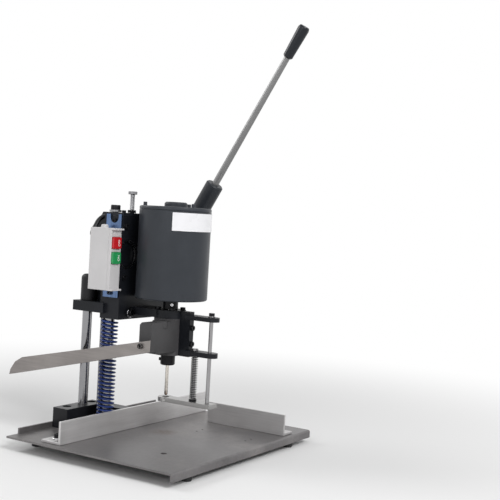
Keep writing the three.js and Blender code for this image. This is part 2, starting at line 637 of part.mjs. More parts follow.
function makeMotorCasing() {
  const inner = motor.radius - motor.wall;
  const floor = motor.bottom + motor.wall;
  const casing = turned([
    [shaftBore, motor.bottom],
    ...arcPoints(motor.radius - motor.round, motor.bottom + motor.round, motor.round, -90, 0, 2),
    [motor.radius, coverBottom - gap], [inner, coverBottom - gap], [inner, floor], [motor.hubRadius, floor],
    [motor.hubRadius, motor.bottom + motor.hubHeight], [shaftBore, motor.bottom + motor.hubHeight],
  ]);
  const seat = head.cavityFront + gap;
  return join(casing, ...motor.mountZ.map((z) => (
    placed(capScrew(m6, seat - motor.radius + motor.mountBite), 'back', 0, seat, z))));
}
piece(headGroup, 'motor_casing', makeMotorCasing(), motorPaint);

function makeMotorCover() {
  const cover = turned([
    [0, coverBottom], [shaftBore, coverBottom], [shaftBore, coverBottom - motor.hubHeight],
    [motor.hubRadius, coverBottom - motor.hubHeight], [motor.hubRadius, coverBottom],
    [motor.radius, coverBottom],
    ...arcPoints(motor.radius - motor.round, motor.top - motor.round, motor.round, 0, 90, 2),
    [motor.capRadius, motor.top], [motor.capRadius, motor.top + motor.capHeight - motor.round],
    [motor.capRadius - motor.round, motor.top + motor.capHeight], [0, motor.top + motor.capHeight],
  ]);
  return join(cover, ...motor.tieDegrees.map((degrees) => {
    const a = THREE.MathUtils.degToRad(degrees);
    return rodZ(motor.tieRadius * Math.cos(a), motor.tieRadius * Math.sin(a), motor.nutRadius,
      coverBottom + motor.wall, motor.top + motor.nutHeight, 6);
  }));
}
piece(headGroup, 'motor_top_cover', makeMotorCover(), motorPaint);

const statorOuter = motor.radius - motor.wall - gap;
piece(headGroup, 'motor_stator', turned([
  [motor.stator, motor.statorBottom], [statorOuter, motor.statorBottom], [statorOuter, motor.statorTop],
  [motor.stator, motor.statorTop],
], fine), copper);

function makeLabel() {
  const inner = motor.radius + gap;
  const from = label.centreDegrees - label.spanDegrees / 2;
  const to = label.centreDegrees + label.spanDegrees / 2;
  return slabZ([
    ...arcPoints(0, 0, inner + label.thickness, from, to, fine), ...arcPoints(0, 0, inner, to, from, fine),
  ], label.bottom, label.bottom + label.height);
}
piece(headGroup, 'motor_label', makeLabel(), whiteLabel);

// Spindle housing with its bearings, hung under the tongue
const bearingBore = bearing.radius + gap;
const lowerBearing = housing.bottom + bearing.inset;
const upperBearing = housing.top - bearing.inset - bearing.height;

function makeHousing() {
  const barrel = rodZ(0, 0, housing.radius, housing.bottom, housing.top, smooth);
  return cut(barrel,
    rodZ(0, 0, housing.middleRadius, housing.bottom - overrun, housing.top + overrun),
    rodZ(0, 0, bearingBore, housing.bottom - overrun, lowerBearing + bearing.height + gap),
    rodZ(0, 0, bearingBore, upperBearing - gap, housing.top + overrun),
    rodX(outlet.y, outlet.z, outlet.bore, -housing.radius - overrun, 0),
    cuboid(-housing.radius, housing.radius, -housing.radius - overrun, housing.flat,
      housing.bottom - overrun, housing.top + overrun),
    ...arm.screwZ.map((z) => placed(screwHole(m5, arm.screwReach), 'front', 0, arm.webFront, z)));
}
piece(headGroup, 'spindle_housing', makeHousing(), motorPaint);

for (const [name, z] of [['lower_bearing', lowerBearing], ['upper_bearing', upperBearing]]) {
  piece(headGroup, name, turned([
    [spindle.radius + gap, z], [bearing.radius, z], [bearing.radius, z + bearing.height],
    [spindle.radius + gap, z + bearing.height],
  ], fine), steel);
}

// Chip outlet: a bored arm that ends over the tray, and a bar that the tray is screwed to
const trayInner = tray.left + tray.sheet + gap;

function makeOutlet() {
  const c = outlet.chamfer;
  const profile = (bottom) => [
    [outlet.front, bottom], [outlet.back, bottom], [outlet.back, outlet.top - c],
    [outlet.back - c, outlet.top], [outlet.front, outlet.top],
  ];
  const end = slabX(profile(outlet.endBottom), outlet.left, outlet.endRight + overrun);
  const root = slabX(profile(outlet.bottom), outlet.endRight, outlet.right);
  const ear = rodZ(outlet.earX, outlet.earY, outlet.earRadius, outlet.earBottom, outlet.earTop);
  const bar = cuboid(trayInner, outlet.left + overrun, outlet.front, outlet.barBack, outlet.barBottom,
    outlet.barTop);
  return cut(join(end, root, ear, bar),
    rodX(outlet.y, outlet.z, outlet.bore, outlet.left - overrun, 0),
    rodZ(0, 0, housing.radius + gap, housing.bottom - overrun, housing.top + overrun, smooth),
    placed(screwHole(m5, tray.screwReach), 'left', tray.left, tray.screwY, tray.screwZ));
}
piece(headGroup, 'chip_outlet', makeOutlet(), motorPaint);

// Chip tray: a folded channel that falls away to the back
function makeTray() {
  const slope = (tray.zTip - tray.zBottomStart) / (tray.tipY - tray.topStart);
  const topSlope = (tray.zCorner - tray.zTopStart) / (tray.cornerY - tray.topStart);
  const zBottom = (y) => tray.zBottomStart + slope * (y - tray.topStart);
  const zTop = (y) => tray.zTopStart + topSlope * (y - tray.topStart);
  const side = (from) => [
    [from, zBottom(from)], [tray.tipY, tray.zTip], [tray.tipRiseY, tray.zTipRise],
    [tray.tipBendY, tray.zTipBend], [tray.cornerY, tray.zCorner], [from, zTop(from)],
  ];
  const floor = slabX([
    [tray.floorStart, zBottom(tray.floorStart)], [tray.tipY, tray.zTip],
    [tray.tipY, tray.zTip + tray.sheet], [tray.floorStart, zBottom(tray.floorStart) + tray.sheet],
  ], tray.left, tray.right);
  const near = slabX(side(tray.topStart), tray.left, tray.left + tray.sheet);
  const far = slabX(side(tray.farStart), tray.right - tray.sheet, tray.right);
  const screw = placed(capScrew(m5, tray.screwReach), 'left', tray.left, tray.screwY, tray.screwZ);
  return join(floor, near, far, screw);
}
piece(headGroup, 'chip_tray', makeTray(), aluminium);

// Presser bracket with its two arms, and the presser that slides in them
function armOutline() {
  return [
    ...arcPoints(0, arm.endY, arm.halfWidth, 180, 360, 8), [arm.halfWidth, arm.rootY],
    [-arm.halfWidth, arm.rootY],
  ];
}

function makeBracket() {
  const web = cuboid(-arm.webHalf, arm.webHalf, arm.webFront, arm.webBack, arm.webBottom, arm.webTop);
  const above = arm.webTop + overrun;
  const bare = cut(join(web, slabZ(armOutline(), arm.upperBottom, arm.upperTop),
    slabZ(armOutline(), arm.lowerBottom, arm.lowerTop)),
  rodZ(0, 0, tongue.noseRadius + gap, housing.top, above, smooth),
  rodZ(0, presser.guideY, presser.guideRadius + gap, arm.lowerBottom - overrun, above, coarse),
  rodZ(0, presser.springY, presser.springRodRadius + gap, arm.lowerBottom - overrun,
    arm.lowerTop + overrun, coarse));
  return join(bare, ...arm.screwZ.map((z) => (
    placed(capScrew(m5, arm.screwReach), 'front', 0, arm.webFront, z))));
}
piece(headGroup, 'presser_bracket', makeBracket(), castPaint);

const presserGroup = new THREE.Group();
headGroup.add(presserGroup);
const presserTop = presser.bottom + presser.thickness;
const rodBottom = presserTop + gap;
const seatTop = rodBottom + presser.seatHeight;
const washerLow = arm.upperTop + gap;
const nutLow = washerLow + presser.washerHeight + gap;

function makePresserPlate() {
  const bar = cuboid(-presser.halfWidth, presser.halfWidth, presser.front, 0, presser.bottom, presserTop);
  return cut(join(bar, rodZ(0, 0, presser.ringRadius, presser.bottom, presserTop)),
    rodZ(0, 0, presser.bore, presser.bottom - overrun, presserTop + overrun));
}
piece(presserGroup, 'presser_plate', makePresserPlate(), steel);
piece(presserGroup, 'presser_guide_rod', join(
  rodZ(0, presser.guideY, presser.guideRadius, rodBottom, nutLow + presser.nutHeight, coarse),
  rodZ(0, presser.guideY, presser.nutRadius, nutLow, nutLow + presser.nutHeight - gap, coarse)), chrome);
piece(presserGroup, 'presser_spring_rod', join(
  rodZ(0, presser.springY, presser.springRodRadius, rodBottom, presser.springRodTop, coarse),
  rodZ(0, presser.springY, presser.seatRadius, rodBottom, seatTop, coarse),
  rodZ(0, presser.springY, presser.headRadius, arm.lowerTop + gap, presser.springRodTop, coarse)), steel);
piece(presserGroup, 'guide_rod_washer', cut(
  rodZ(0, presser.guideY, presser.washerRadius, washerLow, washerLow + presser.washerHeight, coarse),
  rodZ(0, presser.guideY, presser.guideRadius + gap, washerLow - overrun, nutLow + overrun, coarse)), chrome);
piece(headGroup, 'presser_spring', coil(presserSpring, 0, presser.springY, seatTop + gap,
  arm.lowerBottom - gap), blackOxide);

// What the motor turns
const spinGroup = new THREE.Group();
headGroup.add(spinGroup);
piece(spinGroup, 'spindle_shaft', cut(
  rodZ(0, 0, spindle.radius, spindle.bottom, spindle.top),
  rodZ(0, 0, spindle.boreRadius, spindle.bottom - overrun, outlet.z + spindle.boreRadius, coarse),
  rodX(0, outlet.z, spindle.boreRadius, -spindle.radius - overrun, spindle.radius + overrun, coarse)), steel);

// A round pin that stands out sideways from the drill axis
function sidePin(degrees, z, radius, from, to) {
  return rodZ(0, 0, radius, from, to, coarse).rotate([0, 90, 0]).rotate([0, 0, degrees]).translate([0, 0, z]);
}

function makeCoupling() {
  const step = (spindle.top + motor.shaftBottom) / 2;
  const ring = turned([
    [shaftBore, step], [spindle.radius + gap, step], [spindle.radius + gap, coupling.bottom],
    [coupling.radius, coupling.bottom], [coupling.radius, coupling.top], [shaftBore, coupling.top],
  ], fine);
  return join(ring, sidePin(coupling.screwDegrees, coupling.screwZ, coupling.screwRadius, bearing.height,
    coupling.radius + coupling.screwOut));
}
piece(spinGroup, 'shaft_coupling', makeCoupling(), steel);

piece(spinGroup, 'motor_rotor', turned([
  [0, motor.shaftBottom], [motor.shaftRadius, motor.shaftBottom],
  [motor.shaftRadius, motor.statorBottom - motor.rotorEnd],
  [motor.stator - motor.air, motor.statorBottom - motor.rotorEnd],
  [motor.stator - motor.air, motor.statorTop + motor.rotorEnd],
  [motor.shaftRadius, motor.statorTop + motor.rotorEnd], [motor.shaftRadius, coverBottom - gap],
  [0, coverBottom - gap],
], fine), steel);

function makeChuck() {
  const floor = spindle.bottom - gap;
  const body = turned([
    [bit.radius + gap, chuck.bottom], [chuck.radius - chuck.chamfer, chuck.bottom],
    [chuck.radius, chuck.bottom + chuck.chamfer], [chuck.radius, chuck.top - chuck.chamfer],
    [chuck.radius - chuck.chamfer, chuck.top], [spindle.radius + gap, chuck.top],
    [spindle.radius + gap, floor], [bit.radius + gap, floor],
  ], fine);
  return join(body, sidePin(chuck.screwDegrees, chuck.screwZ, chuck.screwRadius, chuck.screwIn,
    chuck.radius + chuck.screwOut));
}
piece(spinGroup, 'drill_chuck', makeChuck(), blackOxide);
piece(spinGroup, 'drill_bit', turned([
  [bit.bore, bit.tip], [bit.radius, bit.tip + bit.edge], [bit.radius, bit.top - gap],
  [bit.bore, bit.top - gap],
], coarse), steel);

// Lever with its quadrant. Its own frame has X along the shaft and Z along the lever, turned back by the
// lever's lean, so that the pull forward and down is a positive turn about X.
const leverGroup = new THREE.Group();
leverGroup.position.set(0, gear.axisY, gear.axisZ);
const leanRadians = Math.PI / 2 - THREE.MathUtils.degToRad(lever.degreesUp);
leverGroup.rotation.x = leanRadians;
headGroup.add(leverGroup);

piece(leverGroup, 'lever_shaft', rodX(0, 0, lever.shaftRadius, lever.shaftLeft, lever.shaftRight), steel);

// The gap between two quadrant teeth takes the rack's tooth at rest, more teeth follow below it
function makeQuadrant() {
  const r = gear.pitchRadius;
  const tip = r + gear.module;
  const root = r - dedendum;
  const step = toothPitch / r;
  const lowest = -leanRadians + (gear.teethAbove - gear.teeth) * step;
  const points = [[0, 0]];
  for (let k = 0; k < gear.teeth; k++) {
    const centre = lowest + (k + 0.5) * step;
    const wide = toothHalf(-dedendum) / root;
    const narrow = toothHalf(gear.module) / tip;
    for (const [radius, a] of [[root, centre - wide], [tip, centre - narrow], [tip, centre + narrow],
      [root, centre + wide]]) {
      points.push([radius * Math.cos(a), radius * Math.sin(a)]);
    }
  }
  const fan = slabX(points, gear.left, gear.right);
  const hub = rodX(0, 0, gear.hubRadius, gear.hubLeft, gear.hubRight);
  return cut(join(fan, hub), rodX(0, 0, lever.shaftRadius + gap, gear.hubLeft - overrun,
    gear.hubRight + overrun));
}
piece(leverGroup, 'gear_quadrant', makeQuadrant(), steel);

const armLeft = lever.armCentre - lever.armThick / 2;
const armRight = lever.armCentre + lever.armThick / 2;

function makeLeverArm() {
  const c = lever.socketChamfer;
  const r = lever.socketRadius;
  const hub = rodX(0, 0, lever.hubRadius, armLeft, armRight, smooth);
  const web = cuboid(lever.armCentre - lever.webThick / 2, lever.armCentre + lever.webThick / 2,
    -lever.webWidth / 2, lever.webWidth / 2, 0, lever.socketStart + 2 * c);
  const socket = turned([
    [0, lever.socketStart], [r - c, lever.socketStart], [r, lever.socketStart + c],
    [r, lever.socketEnd - c], [r - c, lever.socketEnd], [0, lever.socketEnd],
  ]).translate([lever.armCentre, 0, 0]);
  const bare = cut(join(hub, web, socket),
    rodX(0, 0, lever.shaftRadius + gap, armLeft - overrun, armRight + overrun),
    rodZ(lever.armCentre, 0, lever.rodBottomRadius + gap, lever.rodStart - gap, lever.socketEnd + overrun));
  const screwFace = lever.armCentre + r - c;
  return join(bare, placed(capScrew(m5, 0), 'right', screwFace, 0, lever.socketEnd - lever.setScrewInset));
}
piece(leverGroup, 'lever_arm', makeLeverArm(), motorPaint);

function makeLeverRod() {
  const end = lever.gripStart + lever.gripDepth;
  return turned([
    [0, lever.rodStart], [lever.rodBottomRadius, lever.rodStart], [lever.rodBottomRadius, lever.socketEnd],
    [lever.rodTopRadius, end], [0, end],
  ], fine).translate([lever.armCentre, 0, 0]);
}
piece(leverGroup, 'lever_rod', makeLeverRod(), steel);

function makeGrip() {
  const r0 = lever.gripBottomRadius;
  const r1 = lever.gripTopRadius;
  const edge = lever.gripRound;
  const body = turned([
    [0, lever.gripStart], [r0 - edge, lever.gripStart], [r0, lever.gripStart + edge],
    [r1, lever.gripEnd - 2 * edge], [r1 - edge / 2, lever.gripEnd - edge / 2], [r1 - edge, lever.gripEnd],
    [0, lever.gripEnd],
  ], fine).translate([lever.armCentre, 0, 0]);
  return cut(body, rodZ(lever.armCentre, 0, lever.rodTopRadius + 2 * gap, lever.gripStart - overrun,
    lever.gripStart + lever.gripDepth + gap));
}
piece(leverGroup, 'lever_grip', makeGrip(), gripBlack);

// Switch: mounting plate, box, cover, contacts and two push buttons
function makePlate() {
  const half = plate.slotWidth / 2;
  const slotEnd = plate.top - plate.slotDepth + half;
  const sheet = slabX([
    [plate.front, plate.bottom], [plate.back, plate.bottom], [plate.back, plate.top],
    [plate.slotY + half, plate.top], ...arcPoints(plate.slotY, slotEnd, half, 0, -180, 8),
    [plate.slotY - half, plate.top], [plate.front, plate.top],
  ], plateOuter, head.left - gap);
  const [[lowY, lowZ]] = plateScrews;
  return join(sheet, placed(capScrew(m4, plate.reach), 'left', plateOuter, lowY, lowZ));
}
piece(headGroup, 'switch_mount_plate', makePlate(), zinc);

const [, [slotScrewY, slotScrewZ]] = plateScrews;
piece(headGroup, 'plate_slot_screw', placed(capScrew(m4, plate.reach - plate.thickness), 'left',
  head.left - gap, slotScrewY, slotScrewZ), blackOxide);

const boxRight = plateOuter - gap;
const boxLeft = boxRight - box.width;
const shellFront = box.front + box.cover + gap;
const buttonX = (boxLeft + boxRight) / 2;
const buttonHalf = box.width / 2 - button.inset;

function makeBox() {
  const shell = cuboid(boxLeft, boxRight, shellFront, box.back, box.bottom, box.top);
  const inside = cuboid(boxLeft + box.wall, boxRight - box.wall, shellFront - overrun, box.back - box.wall,
    box.bottom + box.wall, box.top - box.wall);
  const plugTop = box.top + plug.height;
  const dome = turned([
    [0, box.top - box.wall], [plug.radius, box.top - box.wall],
    ...arcPoints(plug.radius - plug.round, plugTop - plug.round, plug.round, 0, 90, 3), [0, plugTop],
  ], fine).translate([plug.x, plug.y, 0]);
  const [[leadX, , leadZ]] = leadRoute;
  return cut(join(cut(shell, inside), dome),
    rodY(leadX, leadZ, lead.radius + gap, box.back - box.wall - overrun, box.back + overrun, coarse));
}
piece(headGroup, 'switch_box', makeBox(), paleShell);

function makeBoxCover() {
  const frame = cuboid(boxLeft, boxRight, box.front, box.front + box.cover, box.bottom, box.top);
  const lips = [box.bottom, box.top - box.lipHeight].map((z) => (
    cuboid(boxLeft, boxRight, box.front - box.lip, box.front, z, z + box.lipHeight)));
  const openings = [button.stopZ, button.startZ].map((z) => cuboid(buttonX - buttonHalf - gap,
    buttonX + buttonHalf + gap, box.front - overrun, box.front + box.cover + overrun,
    z - button.height / 2 - gap, z + button.height / 2 + gap));
  return cut(join(frame, ...lips), ...openings);
}
piece(headGroup, 'switch_cover', makeBoxCover(), paleShell);

const contactBack = box.back - box.wall - gap;
const contactBottom = (box.bottom + box.top - contacts.height) / 2;
piece(headGroup, 'contact_block', cuboid(buttonX - contacts.width / 2, buttonX + contacts.width / 2,
  contactBack - contacts.depth, contactBack, contactBottom, contactBottom + contacts.height), blackRubber);

function makeButton(z) {
  const c = button.corner;
  const w = buttonHalf;
  const h = button.height / 2;
  return slabY([
    [buttonX - w + c, z - h], [buttonX + w - c, z - h], [buttonX + w, z - h + c], [buttonX + w, z + h - c],
    [buttonX + w - c, z + h], [buttonX - w + c, z + h], [buttonX - w, z + h - c], [buttonX - w, z - h + c],
  ], box.front - button.proud, box.front - button.proud + button.depth);
}
piece(headGroup, 'stop_button', makeButton(button.stopZ), stopRed);
piece(headGroup, 'start_button', makeButton(button.startZ), startGreen);

// Lead from the switch box over to the head
function makeLead() {
  const curve = new THREE.CatmullRomCurve3(leadRoute.map(([x, y, z]) => new THREE.Vector3(x, y, z)));
  const section = arcPoints(0, 0, lead.radius, 0, 360, lead.sides).slice(1);
  return solid(new THREE.ExtrudeGeometry(outline(section), {
    steps: lead.steps, extrudePath: curve, bevelEnabled: false,
  }));
}
piece(headGroup, 'motor_lead', makeLead(), gripBlack);

// The origin lies at the bottom of the machine's box, under its middle
const whole = new THREE.Box3().setFromObject(machine, true);
const middle = whole.getCenter(new THREE.Vector3());
machine.position.set(-middle.x, -middle.y, -whole.min.z);

export default machine;
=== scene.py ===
"""Looks of a paper drill for hang tags: finishes, surfaces, springs, fasteners, switch marks and stage."""

import math

import bmesh
import bpy
from mathutils import Matrix, Vector


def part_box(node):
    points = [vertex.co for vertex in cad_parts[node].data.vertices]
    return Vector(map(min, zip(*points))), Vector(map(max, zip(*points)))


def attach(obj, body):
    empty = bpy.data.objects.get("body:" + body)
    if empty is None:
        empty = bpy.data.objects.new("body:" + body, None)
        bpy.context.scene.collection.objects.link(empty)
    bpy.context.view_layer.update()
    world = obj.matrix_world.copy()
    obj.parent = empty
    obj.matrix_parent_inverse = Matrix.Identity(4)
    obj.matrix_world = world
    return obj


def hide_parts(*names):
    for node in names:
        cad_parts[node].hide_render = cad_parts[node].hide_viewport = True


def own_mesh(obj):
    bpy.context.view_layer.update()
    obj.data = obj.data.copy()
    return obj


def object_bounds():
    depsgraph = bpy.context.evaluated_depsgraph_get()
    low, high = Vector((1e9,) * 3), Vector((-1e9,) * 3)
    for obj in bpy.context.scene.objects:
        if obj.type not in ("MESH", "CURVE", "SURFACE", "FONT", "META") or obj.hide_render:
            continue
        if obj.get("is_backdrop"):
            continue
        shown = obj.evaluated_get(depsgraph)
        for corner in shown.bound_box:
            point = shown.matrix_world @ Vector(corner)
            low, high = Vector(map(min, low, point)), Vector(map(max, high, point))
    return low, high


bl_info = {
    "name": "Tag paper drill",
    "version": (1, 0, 0),
    "blender": (4, 5, 0),
    "location": "3D View > Sidebar > Paper drill",
    "description": "Builds the finishes and fine parts of a paper drill",
    "category": "Object",
}

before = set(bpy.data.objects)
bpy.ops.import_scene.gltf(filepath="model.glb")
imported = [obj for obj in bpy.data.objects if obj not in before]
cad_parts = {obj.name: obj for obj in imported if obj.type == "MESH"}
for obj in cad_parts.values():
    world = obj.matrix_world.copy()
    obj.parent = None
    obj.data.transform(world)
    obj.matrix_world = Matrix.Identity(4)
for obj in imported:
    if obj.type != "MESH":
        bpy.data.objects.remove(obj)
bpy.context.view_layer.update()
MM = 0.001

# Lengths in metres.
BIT_TIP = 0.062
BIT_BORE = 0.0019
BIT_EDGE = 0.0022
BIT_STAIN = 0.009
SMUDGE_CORE = 0.004
SMUDGE_REACH = 0.03
COUPLING_RADIUS = 0.0123
TRAY_WIDTH = 0.031
TRAY_SKIN = 0.0005
FENCE_SEAT = 0.0062
FLOOR_HALF = 12.0
FADE_START = 0.35
FADE_END = 1.3
THREAD_PITCH = 0.00125
THREAD_ROOT = 0.00345
THREAD_CREST = 0.004
STOP_HEAD = 0.005
CASING_WALL = 0.004
CASING_ROUND = 0.003
CASING_BORE = 0.0055
CASING_BOSS = 0.016

# Places and sizes in millimetres from HOME.
WINDOW = (-45, 59.4, 289)
WINDOW_RING = (20.6, 23.7, 3)
CLAMP_SCREW = (-31.1, 59, 193)

# Cap screw heads: radius, height, half the socket's width across flats, socket depth, in metres.
M4 = (0.00356, 0.00406, 0.0018, 0.002)
M5 = (0.00436, 0.00406, 0.0022, 0.0025)
FENCE_HEAD = (0.005, 0.006, 0.0026, 0.003)
CLAMP_HEAD = (0.0063, 0.0055, 0.0034, 0.0035)
BLOCK_HEAD = (0.00656, 0.00606, 0.0036, 0.004)
COLUMN_HEAD = (0.008, 0.008, 0.0042, 0.005)

# Profiles of small turned parts as (radius, height) in millimetres.
CLAMP_WASHER = ((5.8, -1), (8, -1), (8, 0.8), (7.6, 1.2), (5.8, 1.2))
SET_SCREW = ((0, -1), (2.6, -1), (2.6, 0.9), (2.2, 1.3), (1.2, 1.3), (1.1, -0.2), (0, -0.2))
GUIDE_NUT = ((3.3, 0), (4.3, 0), (4.7, 0.5), (4.7, 4.2), (4.2, 4.7), (3.3, 4.7))
SPRING_SEAT = ((3.1, 0), (6, 0), (6.25, 0.3), (6.25, 2.9), (5.9, 3.2), (3.1, 3.2))

# Angles in degrees.
WINDOW_TURN = 131
SHARP = 35.0
SCREW_SHARP = 30.0
LEAD_SHARP = 60.0

FRONT = Vector((0, -1, 0))
LEFT = Vector((-1, 0, 0))
UP = Vector((0, 0, 1))
BACK = Vector((0, 1, 0))


def middle_of(low, high):
    """The middle of a box in x and y."""
    return (low[0] + high[0]) / 2, (low[1] + high[1]) / 2


def drill_home():
    """Where the drill axis meets the table top, from which the machine's own places are counted."""
    low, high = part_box("drill_bit")
    return Vector((*middle_of(low, high), low[2] - BIT_TIP))


HOME = drill_home()


# ---- shader helpers ----


def new_material(name):
    """A node material, its tree and its Principled shader."""
    material = bpy.data.materials.new(name)
    material.use_nodes = True
    tree = material.node_tree
    shader = tree.nodes["Principled BSDF"]
    return material, tree, shader


def add(tree, kind, inputs, **settings):
    """Adds a node with its settings, and with its inputs linked to outputs or set to plain values."""
    node = tree.nodes.new(kind)
    for name, value in settings.items():
        setattr(node, name, value)
    for name, value in inputs.items():
        if isinstance(value, bpy.types.NodeSocket):
            tree.links.new(value, node.inputs[name])
        else:
            node.inputs[name].default_value = value
    return node


def object_coordinates(tree, scale=(1.0, 1.0, 1.0)):
    """Object coordinates, stretched by a Mapping node."""
    source = add(tree, "ShaderNodeTexCoord", {}).outputs["Object"]
    return add(tree, "ShaderNodeMapping", {"Scale": scale, "Vector": source}).outputs["Vector"]


def noise(tree, vector, scale, detail=4.0, roughness=0.55):
    """Noise value on a vector."""
    inputs = {"Scale": scale, "Detail": detail, "Roughness": roughness, "Vector": vector}
    return add(tree, "ShaderNodeTexNoise", inputs).outputs["Fac"]


def ramp(tree, factor, stops):
    """Colour ramp with (position, colour) stops."""
    node = add(tree, "ShaderNodeValToRGB", {"Fac": factor})
    elements = node.color_ramp.elements
    while len(elements) < len(stops):
        elements.new(0.5)
    for element, (position, colour) in zip(elements, stops):
        element.position = position
        element.color = (*colour, 1.0)
    return node.outputs["Color"]


def mapped(tree, value, start, end, low=0.0, high=1.0, easing="LINEAR"):
    """A value from start to end mapped to the span from low to high."""
    inputs = {"Value": value, "From Min": start, "From Max": end, "To Min": low, "To Max": high}
    return add(tree, "ShaderNodeMapRange", inputs, interpolation_type=easing).outputs["Result"]


def spread(tree, factor, low, high):
    """Noise, most of which lies from 0.3 to 0.7, mapped to the span from low to high."""
    return mapped(tree, factor, 0.3, 0.7, low, high)


def reckon(tree, operation, *terms):
    """A Math node on outputs or plain numbers."""
    return add(tree, "ShaderNodeMath", dict(enumerate(terms)), operation=operation).outputs[0]


def showing_rays(tree):
    """One for camera, glossy and transmission rays, which show a surface, and zero for the rest."""
    path = tree.nodes.new("ShaderNodeLightPath").outputs
    seen = reckon(tree, "MAXIMUM", path["Is Camera Ray"], path["Is Glossy Ray"])
    return reckon(tree, "MAXIMUM", seen, path["Is Transmission Ray"])


def bump(tree, shader, height, strength, distance):
    """Bump from a height into the shader's normal."""
    node = add(tree, "ShaderNodeBump", {"Strength": strength, "Distance": distance, "Height": height})
    tree.links.new(node.outputs["Normal"], shader.inputs["Normal"])


def shade(colour, share):
    """A colour made darker or lighter."""
    return tuple(min(1.0, channel * share) for channel in colour)


def tones(tree, factor, colour, contrast, start=0.3, end=0.7):
    """A colour that goes from darker to lighter with a factor."""
    return ramp(tree, factor, [(start, shade(colour, 1 - contrast)), (end, shade(colour, 1 + contrast))])


def surface(tree, shader, tone, rough, metal=0.0):
    """Links tone and roughness to the shader and sets how metallic it is."""
    tree.links.new(tone, shader.inputs["Base Color"])
    tree.links.new(rough, shader.inputs["Roughness"])
    shader.inputs["Metallic"].default_value = metal


def painted(name, colour, gloss=0.42, grain=900.0, depth=0.00004, metal=0.0, contrast=0.12, shine=0.22):
    """Machine paint: fine orange peel and slight changes of tone and gloss."""
    material, tree, shader = new_material(name)
    vector = object_coordinates(tree)
    broad = noise(tree, vector, 28.0, 5.0)
    fine = noise(tree, vector, grain, 2.0)
    rough = spread(tree, broad, gloss - 0.06, gloss + 0.08)
    surface(tree, shader, tones(tree, broad, colour, contrast), rough, metal)
    shader.inputs["Specular IOR Level"].default_value = shine
    bump(tree, shader, fine, 0.35, depth)
    return material


def brushed(name, colour, along, gloss=0.34, contrast=0.14, metal=1.0, lines=420.0):
    """Metal with brush lines along one axis, given as the axis's index."""
    material, tree, shader = new_material(name)
    scale = [1.0, 1.0, 1.0]
    scale[along] = 0.03
    lined = noise(tree, object_coordinates(tree, tuple(scale)), lines, 3.0, 0.7)
    broad = noise(tree, object_coordinates(tree), 16.0, 5.0)
    mixed = reckon(tree, "MULTIPLY_ADD", lined, 0.5, reckon(tree, "MULTIPLY", broad, 0.5))
    rough = spread(tree, mixed, gloss - 0.07, gloss + 0.1)
    surface(tree, shader, tones(tree, mixed, colour, contrast, 0.35, 0.65), rough, metal)
    bump(tree, shader, lined, 0.25, 0.00002)
    return material


def mixed_tone(tree, factor, first, second, blend="MIX"):
    """A colour output mixed with another."""
    inputs = {"Factor": factor, "A": first, "B": second}
    return add(tree, "ShaderNodeMix", inputs, data_type="RGBA", blend_type=blend).outputs["Result"]


def drill_smudge(tree, vector, tone):
    """The brown dust that the bit leaves on the table round the drill axis."""
    away = add(tree, "ShaderNodeVectorMath", {0: vector, 1: HOME}, operation="DISTANCE").outputs["Value"]
    near = mapped(tree, away, SMUDGE_REACH, SMUDGE_CORE, 0.0, 0.75, "SMOOTHSTEP")
    patch = reckon(tree, "MULTIPLY", near, spread(tree, noise(tree, vector, 130.0, 5.0), 0.3, 1.0))
    return mixed_tone(tree, patch, tone, (0.09, 0.055, 0.04, 1.0))


def paint_inside_shade(material, left, right, tone):
    """Paints shade on a folded sheet: darkens its inner faces, between its two outer faces across X."""
    tree = material.node_tree
    shader = tree.nodes["Principled BSDF"]
    across = add(tree, "ShaderNodeSeparateXYZ", {"Vector": object_coordinates(tree)}).outputs["X"]
    offset = reckon(tree, "SUBTRACT", across, (left + right) / 2)
    inside = reckon(tree, "LESS_THAN", reckon(tree, "ABSOLUTE", offset), (right - left) / 2 - TRAY_SKIN)
    unshaded = shader.inputs["Base Color"].links[0].from_socket
    tree.links.new(mixed_tone(tree, inside, unshaded, tone), shader.inputs["Base Color"])


def blotched_sheet(name, colour, warm, gloss=0.4, metal=0.75):
    """Sheet steel with cloudy oxide tones, small specks and fine handling marks."""
    material, tree, shader = new_material(name)
    vector = object_coordinates(tree)
    cloud = noise(tree, vector, 9.0, 7.0, 0.62)
    speck = noise(tree, vector, 160.0, 4.0, 0.7)
    lined = noise(tree, object_coordinates(tree, (0.05, 1.0, 1.0)), 500.0, 3.0)
    tone = ramp(tree, cloud, [(0.32, shade(colour, 0.78)), (0.5, colour), (0.7, warm)])
    specks = ramp(tree, speck, [(0.3, (0.82, 0.82, 0.82)), (0.62, (1.0, 1.0, 1.0))])
    speckled = mixed_tone(tree, 0.7, tone, specks, "MULTIPLY")
    rough = spread(tree, cloud, gloss - 0.06, gloss + 0.12)
    surface(tree, shader, drill_smudge(tree, vector, speckled), rough, metal)
    bump(tree, shader, lined, 0.18, 0.00002)
    return material


def polished(name, colour, gloss=0.12, grain=300.0):
    """Bright metal, with faint turning lines round the vertical axis."""
    material, tree, shader = new_material(name)
    rings = noise(tree, object_coordinates(tree, (0.04, 0.04, 1.0)), grain * 4, 2.0)
    broad = noise(tree, object_coordinates(tree), 30.0, 3.0)
    tone = ramp(tree, broad, [(0.3, shade(colour, 0.92)), (0.7, shade(colour, 1.06))])
    surface(tree, shader, tone, spread(tree, rings, gloss - 0.03, gloss + 0.06), 1.0)
    bump(tree, shader, rings, 0.1, 0.00001)
    return material


